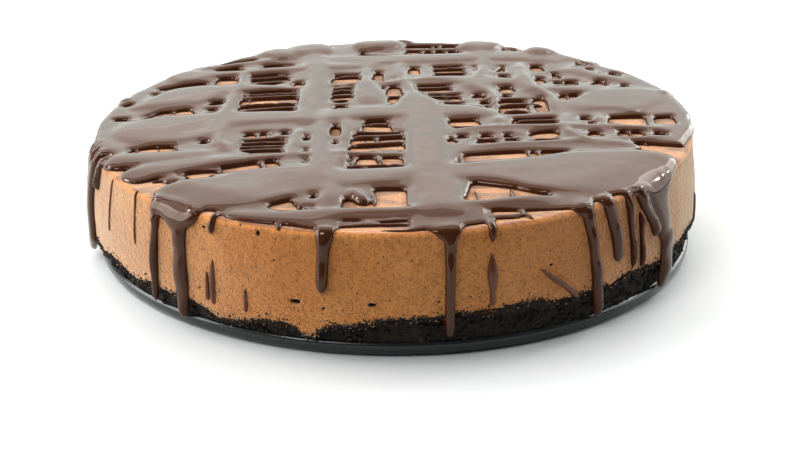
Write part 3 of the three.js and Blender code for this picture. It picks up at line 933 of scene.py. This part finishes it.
COLUMNS = [
    [(-66, 72, 3), (-63.5, 58, 3), (-65.5, 30, 3), (-67, -2, 5), (-66, -20, 3.5), (-61, -40, 2.5)],
    [(-38, 110, 7), (-36, 100, 5), (-34, 78, 7), (-32.5, 55, 5.5), (-34, 12, 6), (-34, -10, 4)],
    [(-36.5, -10, 3), (-36.5, -20, 2.6), (-37, -50, 4)],
    [(-27.5, 12, 5), (-28, -15, 4.2), (-25, -60, 6), (-22, -70, 5), (-22, -99, 4.5)],
    [(-18.5, 6, 2.2), (-19, -60, 2.4)],
    [(-12, 78, 2.5), (-12, 58, 2.5), (-11, 38, 6.5), (-9, 12, 5)],
    [(-3, 112.5, 8), (-3, 103, 6), (-3, 90, 3)],
    [(2.5, 80, 2.5), (2.5, 60, 2.4), (7, 36, 4), (9, 20, 9), (12, -5, 8.5), (12.5, -45, 8), (14.5, -80, 9),
     (17, -108, 10)],
    [(38, 110, 7), (37, 102, 5), (39, 84, 4), (37, 62, 3), (34, 44, 7), (39.5, 28, 2), (40, 6, 2)],
    [(54, 78, 2.5), (54, 60, 3), (55, 42, 5), (62.5, 24, 2.6), (62.5, 2, 2.6)],
    [(40, 4, 3), (40, -14, 3)], [(67, 5, 2.6), (65, -18, 2.6), (78, -40, 4)], [(79, 4, 2.6), (79, -16, 2.2)],
]

# Swells that show along the back rim.
SWELLS = [
    [(-58, 103, 9), (-44, 84, 7)], [(-40, 112, 12), (-34, 86, 9)], [(-8, 116, 14), (-7, 94, 10)],
    [(40, 112, 12), (36, 88, 9)], [(70, 96, 9), (58, 84, 7)],
]

# Thin strands that cross the windows: x, y of one end, x, y of the other, half width.
THREADS = [
    (-64, 35.5, -37, 38.5, 1.2), (-64, 31.5, -37, 34.5, 1.4), (-64, 21.5, -37, 24.5, 1.3),
    (-63, 14.5, -37, 19.5, 1.4), (-61, 52, -43, 56, 1.4), (-44, 63, -42, 49, 1.0),
    (-62, 43, -58, 28, 0.8), (-28, 39, -14, 41, 1.3), (-28, 25, -17, 29, 1.1), (-5, 31, 5, 32.5, 1.2),
    (13, 102, 13.4, 92, 0.8), (17.6, 109, 17.8, 92, 0.7), (20.6, 109, 21, 102, 0.8),
    (23.2, 100, 24, 91, 1.0), (29, 108, 29, 103, 0.8), (12, 75, 12.4, 59, 0.8),
    (14.8, 75, 14.9, 59, 0.9), (24, 76, 24.6, 73, 0.8), (33, 76, 33, 60, 0.9), (46.6, 74, 41, 61, 1.0),
    (64, 62, 67, 54, 0.9), (11, 42, 13, 24, 0.6), (20, 34, 22, 27, 0.6), (41, 24.5, 60, 25.5, 1.6),
    (41, 16.5, 60, 17, 1.5), (54.4, 29, 55, 0, 0.9), (51.6, 6, 51.8, -1, 0.6), (70, 30, 70.4, 19, 0.8),
    (71.5, 20, 71.6, 9, 0.6), (74, 20, 74.4, 9, 0.5), (76, 20, 76.2, 9, 0.6), (78.4, 20, 78, 9, 0.5),
    (-60, -25, -38, -23.8, 1.2), (-60, -29.2, -38, -28, 1.1), (-60, -33.4, -38, -31.5, 1.1),
    (-52.5, -10, -50.5, -20, 1.0), (-46.5, -10, -48, -19, 1.3), (-59, -17, -70, -31, 1.8),
    (-48.6, -44, -44.6, -58, 1.5), (-76.4, -52, -74.2, -61, 1.0), (-63.6, -49, -61.6, -59, 0.7),
    (-86, -64, -79, -62, 0.8), (-17, -13.5, 6, -14.5, 0.9), (-17, -20.6, 6, -18.6, 1.5),
    (-17, -29.5, 6, -26.6, 1.6), (-17, -38.6, 6, -36.5, 1.2), (-11, -22, -10.6, -29, 0.7),
    (-6.8, -19, -6.2, -28, 0.9), (-13, -40, -16, -52, 1.2), (-6.5, -40, -3.6, -52, 1.6),
    (-19, -52.6, 6, -52, 1.3), (-10.6, -50, -9.4, -58, 0.8), (-16, -76, -9, -90, 3.2),
    (-7, -78, -6.6, -91, 1.0), (-35, -83, -31, -91, 1.2), (-31, -91, -24, -97, 1.2),
    (-38, -103, -37.6, -109, 1), (-12, -105, 7, -103.6, 1.0), (-20, -108.6, 7, -108, 0.9),
    (33.6, 0, 34.4, -13, 1.2), (37.4, -9, 40, -31, 0.9), (43.8, -10, 49, -34, 1.0),
    (48.6, -10, 52.2, -34, 1.0), (49, -34, 49.6, -48, 0.9), (52.2, -34, 53, -48, 0.9),
    (61, -11, 70, -36, 1.8), (23.8, -36, 25.2, -53, 1.1), (22, -50.6, 44, -49.4, 1.2),
    (28, -33, 60, -31, 1.0), (22, -24.8, 52, -24, 0.9), (88, -14, 89.4, -30, 0.6),
    (94.4, -20, 93.4, -34, 1.3), (98, 2, 97, -16, 0.8), (83, 2, 82.2, -10, 0.7),
    (27.6, -76, 28.4, -94, 0.5), (40, -76, 40.6, -90, 0.8), (29, -102.4, 46, -100.6, 1.1),
    (41, -95, 46, -105, 1.0), (31.6, -96, 33, -110, 0.8), (13, 69.5, 36, 70.5, 1.2),
    (13, 63.5, 34, 64, 1.0), (-66, 58, -42, 62, 1.3), (-26, 60, -13, 61, 1.2), (-27, 44, -15, 45, 1.0),
    (-27, 34, -15, 35.5, 1.2), (-12, -4, 0, -5, 1.2), (16, -10, 38, -9.5, 1.2),
    (30, -103, 42, -103, 0.9), (-19, -106, -4, -106.6, 1.0), (-76, -56, -60, -53, 0.9),
    (42, 10, 54, 9, 1.2), (6, 42.5, 27, 43, 1.2), (8, 30.5, 30, 30, 1.0), (46, -3.5, 66, -3, 1.1),
    (-96, -28, -94, -38, 0.6), (-88, -27, -85.6, -38, 0.7), (-88, 18, -86.6, 8, 0.6),
]

# Webs that hang over the rim and drips that run on from them: angle in degrees, distance past the
# rim, half width. The webs are run together with the sheet, the drips are laid on afterwards.
WEBS = [
    [(-76, -8, 9), (-76, 3, 8), (-76, 18, 6), (-76, 33, 6), (-75, 38.5, 7)],
    [(-40.7, -9, 13), (-40.7, 0, 12.4), (-40.8, 3.2, 11), (-41, 7, 9.5)],
    [(-39.3, -6, 9), (-39.3, 1, 9), (-39.3, 4.6, 6.6), (-39.1, 7, 4.4), (-38.8, 11, 3.2)],
    [(8.8, -7, 9), (8.8, -0.5, 7), (9, 1.5, 4.6), (9.1, 4, 3.1), (9.1, 7, 2.3)],
    [(34, -6, 7), (34, 0.5, 5), (34.4, 4, 3.2)],
    [(53, -9, 14), (53, 0, 12.6), (53, 3, 10), (53, 6, 7.6), (53.3, 10, 5.6), (54.2, 16, 4.6), (55, 26, 4.2)],
]
DRIPS = [
    [(-69, -6, 2.4), (-69, 3, 1.8), (-69.4, 12, 1.4)],
    [(-45, -4, 3), (-45, 3, 2.6), (-44.9, 6, 1.9), (-45, 10, 1.6), (-45.2, 25, 1.6), (-45.6, 39, 1.3)],
    [(-39, -4, 3.2), (-39, 3, 3.4), (-38.8, 10, 2.9), (-38.6, 16, 2.8), (-38.4, 25, 3.1), (-38.2, 33, 2.5),
     (-38, 40.5, 1.7)],
    [(-31.6, -3, 1.6), (-31.7, 3, 1.1), (-31.8, 7, 0.6)],
    [(-11.4, -4, 4), (-11.4, 1, 3.3), (-11.5, 7, 2.3), (-11.6, 14, 2.1), (-11.7, 22, 2.5)],
    [(9.1, 2, 2.4), (9.1, 6, 2.1), (9, 14, 1.8), (8.9, 28, 1.8), (9, 38, 1.9)],
    [(16.2, -4, 1.6), (16.2, 2.5, 1.4), (16.1, 6.5, 0.9)],
    [(34.2, 1, 2.8), (34.8, 9, 2.1), (35.4, 18, 2), (36, 27, 2.3), (36.5, 42, 1.9)],
    [(38.8, -4, 4), (39.4, 3, 2.8), (40.6, 14, 2.5), (41.2, 24, 2.7)],
    [(43.6, -3, 2), (44.2, 6, 1.3), (44.9, 29, 0.9)],
    [(47, -3, 3), (47.8, 4, 2.4), (49.8, 11, 2), (51.3, 17, 1.8), (51.9, 20.5, 2.2)],
    [(47.1, 8, 0.8), (47.3, 30, 0.8)],
    [(55, 17, 3.6), (55.6, 27, 3.8), (55.3, 35, 3.2), (54.6, 43, 3)],
    [(104, -5, 6), (104, 3, 3.6), (105, 20, 2.4)],
    [(131, -5, 6), (131, 3, 4), (130, 30, 2.6), (130, 38, 2.2)],
    [(152, -5, 5), (152, 3, 3), (153, 14, 2.2)],
    [(178, -5, 7), (178, 3, 4.4), (177, 14, 3), (177, 31, 2.4)],
    [(-158, -5, 6), (-157, 3, 3.4), (-157, 22, 2.2)],
    [(-131, -5, 8), (-131, 3, 5), (-130, 16, 3), (-130, 40, 2.4)],
    [(-106, -5, 5), (-106, 3, 3), (-107, 18, 2.2)],
]

# Thin runs and drops of thinner chocolate on the side: angle in degrees, height, half width.
TRICKLES = [
    [(-51.6, 43, 0.6), (-51.4, 36, 0.3), (-51.2, 23, 0.35)],
    [(-61, 42, 0.25), (-61.4, 30, 0.25), (-61.6, 21, 0.25)],
    [(-32.7, 24, 0.5), (-32.7, 13, 1.0)],
    [(-31.5, 29, 0.4), (-31.6, 20, 1.1), (-31.5, 12, 0.9)],
    [(-25.1, 21, 0.5), (-25.1, 12, 0.9)],
    [(16, 36, 0.4), (16, 32, 1.3), (16, 28.5, 1.8), (16, 25, 1.3), (16, 21, 0.9), (16, 17.6, 1.3)],
    [(24.5, 28, 0.4), (27.5, 23, 1.6), (29.6, 19.4, 1.2), (32.2, 14.2, 1.9)],
    [(12.5, 15.4, 0.4), (16.5, 16.6, 0.6)],
    [(75, 27, 0.5), (75, 14, 0.6)],
]

SHEET_STEPS = 360
SHEET_INSET = 1 * MM
SHEET_DROP = 0.6 * MM
SHEET_BOTTOM = -2.6 * MM
WINDOW_REACH = 8 * MM
ROW_RISE = 0.3 * MM
COLUMN_RISE = 0.7 * MM
SWELL_RISE = 1.7 * MM

SECTION_POINTS = 16
BAND_STATION = 3.5 * MM
FINE_STATION = 1.6 * MM
BLUNT_STATIONS = 3
ROOT_DEPTH = 1.2 * MM
KNOT_LENGTH = 12 * MM
DRIP_SWELL = 0.2

# Voxel size, then the rounds of levelling and of softening: first for the sheet, then for all of it.
SHEET_MELT = (0.8 * MM, 28, 8)
WHOLE_MELT = (0.6 * MM, 5, 3)
CUT_DEPTH = 0.5 * MM
LARGEST_PIECE = 190000


def strip_sides(points):
    """Middle line of a strip through x, y, half width points, with its sideways direction."""
    ahead = np.gradient(points[:, :2], axis=0)
    ahead /= np.linalg.norm(ahead, axis=1, keepdims=True)
    return points[:, :2], np.stack([-ahead[:, 1], ahead[:, 0]], -1)


def window(points):
    """A prism that cuts one window: a circle's corners moved to the strip's outline and pulled up."""
    points = np.array(points, float) * MM
    middle, side = strip_sides(points)
    half = points[:, 2:]
    outline = np.concatenate([middle - side * half, (middle + side * half)[::-1]])
    clear_selection()
    bpy.ops.mesh.primitive_circle_add(vertices=len(outline), radius=1, fill_type="NGON")
    piece = bpy.context.object
    reshape(piece, np.column_stack([outline, np.full(len(outline), -WINDOW_REACH)]))
    bpy.ops.object.mode_set(mode="EDIT")
    bpy.ops.mesh.select_all(action="SELECT")
    move = {"value": (0, 0, 2 * WINDOW_REACH)}
    bpy.ops.mesh.extrude_region_move(TRANSFORM_OT_translate=move)
    bpy.ops.mesh.select_all(action="SELECT")
    bpy.ops.mesh.normals_make_consistent(inside=False)
    bpy.ops.object.mode_set(mode="OBJECT")
    return piece


def sheet(radius, height, windows):
    """The poured sheet: a flat disc with its windows cut out."""
    clear_selection()
    middle = (height + SHEET_BOTTOM) / 2
    bpy.ops.mesh.primitive_cylinder_add(
        vertices=SHEET_STEPS, radius=radius, depth=height - SHEET_BOTTOM, location=(0, 0, middle)
    )
    bpy.ops.object.transform_apply(location=True)
    disc = bpy.context.object
    places = coordinates(disc)
    angle, distance = directions(places)
    wavy = 0.9 * np.sin(7 * angle + 2) + 0.6 * np.sin(16 * angle) + 0.5 * np.sin(27 * angle + 1)
    overhang = 3.4 * step_between(np.abs(angle), math.radians(66), math.radians(84))
    drawn_in = bump(angle, -56, 9, 12)
    reshape(disc, round_point(angle, distance + (wavy + overhang - drawn_in) * MM, places[:, 2]))
    cutters = bpy.data.collections.new("windows")
    bpy.context.scene.collection.children.link(cutters)
    for points in windows:
        cutter = window(points)
        bpy.context.scene.collection.objects.unlink(cutter)
        cutters.objects.link(cutter)
    cut_away(disc, operand_type="COLLECTION", collection=cutters)
    for cutter in list(cutters.objects):
        bpy.data.objects.remove(cutter)
    bpy.data.collections.remove(cutters)
    return disc


def section(half, height, root):
    """A strand's section at each station: flat-topped with round edges, in (sideways, rise)."""
    turn = np.linspace(0, TURN, SECTION_POINTS + 1)
    edge = np.minimum(half, height)[:, None]
    across = np.cos(turn)[None, :]
    sideways = np.sign(np.round(across, 6)) * (half[:, None] - edge) + edge * across
    rise = np.where(np.sin(turn) >= 0, height[:, None], root[:, None]) * np.sin(turn)[None, :]
    return sideways, rise


def blunt(count):
    """Narrows a strand to a point over its first and last stations, as a round end does."""
    step = np.arange(count)
    from_end = np.minimum(step, count - 1 - step) / BLUNT_STATIONS
    return np.sqrt(np.clip(1 - (1 - np.clip(from_end, 0, 1)) ** 2, 0, 1))


def tube(places):
    """A closed tube from rings of places: a grid whose long edges meet and whose ends are points."""
    rings, around = places.shape[:2]
    clear_selection()
    bpy.ops.mesh.primitive_grid_add(x_subdivisions=around - 1, y_subdivisions=rings - 1, size=1)
    piece = bpy.context.object
    reshape(piece, places.reshape(-1, 3))
    return piece


def strand(points, height, spacing, swell=0.0):
    """A flat strand of chocolate through x, y, half width points in metres, its rise swelling by a share."""
    points = np.array(points, float)
    length = np.linalg.norm(np.diff(points[:, :2], axis=0), axis=1).sum()
    count = max(7, int(length / spacing))
    along = spline(points, count)
    middle, side = strip_sides(along)
    narrow = blunt(count)
    half = along[:, 2] * narrow
    knots = 1 + swell * np.sin(TURN * np.arange(count) * spacing / KNOT_LENGTH + points[0, 0] / MM)
    sideways, rise = section(half, height * knots * narrow, ROOT_DEPTH * narrow)
    flat = middle[:, None] + side[:, None] * sideways[..., None]
    return tube(np.concatenate([flat, rise[..., None]], -1))


def band(points, height):
    return strand(np.array(points, float) * MM, height, BAND_STATION)


def thread(start_x, start_y, end_x, end_y, half):
    """A thin strand that sways and narrows a little between its ends."""
    sway = 0.5 * math.sin(3 * start_x + end_y)
    middle = ((start_x + end_x) / 2 + sway * 0.4, (start_y + end_y) / 2 + sway, half * 0.9)
    points = np.array([(start_x, start_y, half), middle, (end_x, end_y, half)])
    return strand(points * MM, (1.1 + 0.6 * half) * MM, FINE_STATION)


def drip(points, height, swell=0.0):
    """A strand that runs out over the rim, drawn wider where laying it on the side narrows it."""
    angle, distance, half = np.array(points, float).T
    angle, distance = np.radians(angle), distance * MM
    radius = sizes().top_radius + distance
    place, _ = skin(angle, distance)
    widened = half * MM * radius / np.hypot(place[:, 0], place[:, 1])
    flat = np.stack([radius * np.sin(angle), -radius * np.cos(angle), widened], -1)
    return strand(flat, height, FINE_STATION, swell)


def trickle(points):
    """A thin run on the cake's side through angle, height, half width points."""
    points = np.array(points, float)
    count = max(9, int(abs(points[0, 1] - points[-1, 1]) / 0.8))
    along = spline(points, count)
    angle, z = np.radians(along[:, 0]), along[:, 1] * MM
    narrow = blunt(count)
    half = along[:, 2] * MM * narrow
    shoulder = cake_top(sizes().top_radius * np.sin(angle)) - sizes().rim_round
    place, out = skin(angle, sizes().rim_round * math.pi / 2 + shoulder - z)
    side = np.stack([np.cos(angle), np.sin(angle), 0 * angle], -1)
    sideways, rise = section(half, (0.5 * MM + 0.45 * half) * narrow, 0.8 * MM * narrow)
    return tube(place[:, None] + side[:, None] * sideways[..., None] + out[:, None] * rise[..., None])


def sheet_and_bands():
    """What was poured first: the sheet with its windows, the bands and the webs over the rim."""
    height = sizes().ganache_height
    poured = [sheet(sizes().top_radius - SHEET_INSET, height - SHEET_DROP, WINDOWS + CHINKS)]
    for strips, rise in ((ROWS, ROW_RISE), (COLUMNS, COLUMN_RISE), (SWELLS, SWELL_RISE)):
        poured += [band(points, height + rise) for points in strips]
    return poured + [drip(points, height) for points in WEBS]


def threads_and_drips():
    """What was laid on afterwards: the thin strands in the windows and the drips on the side."""
    threads = [thread(*ends) for ends in THREADS]
    return threads + [drip(points, sizes().drip_height, DRIP_SWELL) for points in DRIPS]


def run_together(pieces, voxel, levelling, softening):
    """Chocolate run into one skin, which is smoothed in height alone and then all over."""
    ganache = joined("ganache", pieces)
    apply_modifier(ganache, "REMESH", mode="VOXEL", voxel_size=voxel)
    apply_modifier(ganache, "SMOOTH", factor=0.5, iterations=levelling, use_x=False, use_y=False)
    apply_modifier(ganache, "SMOOTH", factor=0.5, iterations=softening)
    return ganache


def cut_flat(piece, depth):
    """Cuts away what lies deeper than this below the flat."""
    clear_selection()
    bpy.ops.mesh.primitive_cube_add(size=1, location=(0, 0, -0.5 - depth))
    cutter = bpy.context.object
    bpy.ops.object.transform_apply(location=True)
    cut_away(piece, object=cutter)
    bpy.data.objects.remove(cutter)


def thin_out(piece, most):
    """Takes a piece down to a number of triangles."""
    count = triangles(piece)
    if count > most:
        apply_modifier(piece, "DECIMATE", ratio=most / count)


def lay_on_cake(ganache):
    """Makes the flat chocolate slightly uneven, thins it at the front rim and lays it over the cake."""
    flat = coordinates(ganache)
    uneven = 0.3 * rough(flat, 13 * MM, 4) + 0.12 * rough(flat, 7 * MM, 5)
    rise = flat[:, 2] + uneven * MM * np.clip(flat[:, 2] / sizes().ganache_height, 0, 1)
    angle, radius = directions(flat)
    rise = np.where(rise > 0, rise * thinned(angle, radius - sizes().top_radius), rise)
    reshape(ganache, over_the_top(flat[:, :2], rise))
    apply_modifier(ganache, "SMOOTH", factor=0.5, iterations=3)


class MESH_OT_cheesecake_ganache(bpy.types.Operator):
    """Adds the ganache: the poured sheet with its windows, bands, strands and drips run together"""

    bl_idname = "mesh.cheesecake_ganache"
    bl_label = "Ganache"

    def execute(self, context):
        poured = run_together(sheet_and_bands(), *SHEET_MELT)
        all_of_it = [poured, *threads_and_drips()]
        ganache = run_together(all_of_it, *WHOLE_MELT)
        cut_flat(ganache, CUT_DEPTH)
        thin_out(ganache, LARGEST_PIECE)
        lay_on_cake(ganache)
        smooth(ganache)
        dress(ganache, ganache_finish(), "filling")
        trickles = joined("ganache_trickles", [trickle(points) for points in TRICKLES])
        smooth(trickles)
        dress(trickles, thin_ganache_finish(), "filling")
        return {"FINISHED"}


# Floor, light and camera

# The camera's place, in metres, its angles, in degrees, and its lens, as fitted to the outlines.
CAMERA_PLACE = (0.0001137, -0.583252, 0.234331)
CAMERA_PITCH = 22.163
CAMERA_YAW = 0.2142
CAMERA_LENS = 70.81
SENSOR_WIDTH = 36.0
FLOOR_SIZE = 12
FLOOR_HEIGHT = -0.0002
FLOOR_COLOUR = (0.64, 0.66, 0.665, 1)
ROOM_COLOUR = (0.93, 0.96, 1.0, 1)
ROOM_STRENGTH = 0.13
LIGHTS_AIM = (0, 0, 0.03)
WHITE = (1, 1, 1)

# Soft lights: name, place, width and height, power and colour. The ceiling lights the floor and
# stays out of the gloss; the windows are what the chocolate reflects.
CEILING = ("ceiling", (-0.5, 0.5, 1.6), (2.6, 2.6), 31, WHITE)
ROOM_LIGHTS = [
    ("window_low", (0.0, 1.5, 0.33), (4.0, 0.46), 9.2, (0.91, 1, 0.95)),
    ("window_back", (0.1, 1.45, 0.92), (3.6, 0.72), 14.8, (1, 0.98, 0.91)),
    ("window_upper", (0.2, 1.1, 1.55), (2.4, 0.8), 7, (1, 0.95, 0.88)),
    ("window_left", (-1.2, 0.0, 0.45), (1.1, 0.8), 17, WHITE),
    ("window_right", (1.3, 0.85, 0.75), (2.2, 1.4), 27, WHITE),
    ("window_corner", (-0.98, 0.32, 0.95), (0.9, 0.7), 4.2, (1, 0.96, 0.9)),
    ("window_top", (0.1, 0.4, 1.8), (2.2, 0.9), 9, (1, 0.96, 0.9)),
    ("lamp_front", (-0.6, -0.78, 1.15), (0.4, 0.3), 5, WHITE),
    ("spark_left", (-0.9, 0.5, 0.78), (0.15, 0.15), 2.6, WHITE),
    ("spark_right", (0.9, 0.5, 0.78), (0.17, 0.17), 2.6, WHITE),
]


def softbox(name, place, size, power, colour):
    """A soft light that faces the middle of the cake."""
    clear_selection()
    bpy.ops.object.light_add(type="AREA", location=place)
    lamp = bpy.context.object
    lamp.name = name
    lamp.data.shape = "RECTANGLE"
    lamp.data.size, lamp.data.size_y = size
    lamp.data.energy = power
    lamp.data.color = colour
    aim = Vector(LIGHTS_AIM) - Vector(place)
    lamp.rotation_euler = aim.to_track_quat("-Z", "Y").to_euler()
    return lamp


class SCENE_OT_cheesecake_stage(bpy.types.Operator):
    """Adds the pale floor, the soft studio light and the camera"""

    bl_idname = "scene.cheesecake_stage"
    bl_label = "Floor, light and camera"

    def execute(self, context):
        clear_selection()
        bpy.ops.mesh.primitive_plane_add(size=FLOOR_SIZE, location=(0, 0, FLOOR_HEIGHT))
        floor = called("floor")
        finish = Finish("pale_floor", Roughness=0.6, Base_Color=FLOOR_COLOUR)
        floor.data.materials.append(finish.material)

        world = bpy.data.worlds.new("pale_room")
        world.use_nodes = True
        background = world.node_tree.nodes["Background"]
        background.inputs["Color"].default_value = ROOM_COLOUR
        background.inputs["Strength"].default_value = ROOM_STRENGTH
        context.scene.world = world
        context.scene.view_settings.view_transform = "Standard"

        ceiling = softbox(*CEILING)
        ceiling.visible_glossy = False
        for light in ROOM_LIGHTS:
            softbox(*light)

        clear_selection()
        bpy.ops.object.camera_add(location=CAMERA_PLACE)
        camera = bpy.context.object
        camera.name = "camera"
        camera.rotation_euler = (math.radians(90 - CAMERA_PITCH), 0, math.radians(-CAMERA_YAW))
        camera.data.lens = CAMERA_LENS
        camera.data.sensor_width = SENSOR_WIDTH
        camera.data.sensor_fit = "HORIZONTAL"
        camera.data.clip_start = 0.01
        context.scene.camera = camera
        return {"FINISHED"}


class VIEW3D_PT_cheesecake(bpy.types.Panel):
    """Lists the pieces, sizes and colours in the 3D view's sidebar"""

    bl_label = "Chocolate Cheesecake"
    bl_idname = "VIEW3D_PT_cheesecake"
    bl_space_type = "VIEW_3D"
    bl_region_type = "UI"
    bl_category = "Cheesecake"

    def draw(self, context):
        layout = self.layout
        for operator in OPERATORS:
            layout.operator(operator.bl_idname)
        for group in (sizes(), colours()):
            for name in group.bl_rna.properties.keys():
                if name not in ("rna_type", "name"):
                    layout.prop(group, name)


OPERATORS = (
    MESH_OT_cheesecake_tin,
    MESH_OT_cheesecake_crust,
    MESH_OT_cheesecake_filling,
    MESH_OT_cheesecake_ganache,
    SCENE_OT_cheesecake_stage,
)
CLASSES = (CheesecakeSizes, CheesecakeColours, *OPERATORS, VIEW3D_PT_cheesecake)


def register():
    for each in CLASSES:
        bpy.utils.register_class(each)
    bpy.types.Scene.cheesecake_sizes = PointerProperty(type=CheesecakeSizes)
    bpy.types.Scene.cheesecake_colours = PointerProperty(type=CheesecakeColours)


def unregister():
    del bpy.types.Scene.cheesecake_colours
    del bpy.types.Scene.cheesecake_sizes
    for each in reversed(CLASSES):
        bpy.utils.unregister_class(each)


def main():
    register()
    bpy.ops.mesh.cheesecake_tin()
    bpy.ops.mesh.cheesecake_crust()
    bpy.ops.mesh.cheesecake_filling()
    bpy.ops.mesh.cheesecake_ganache()
    bpy.ops.scene.cheesecake_stage()


if __name__ == "__main__":
    main()
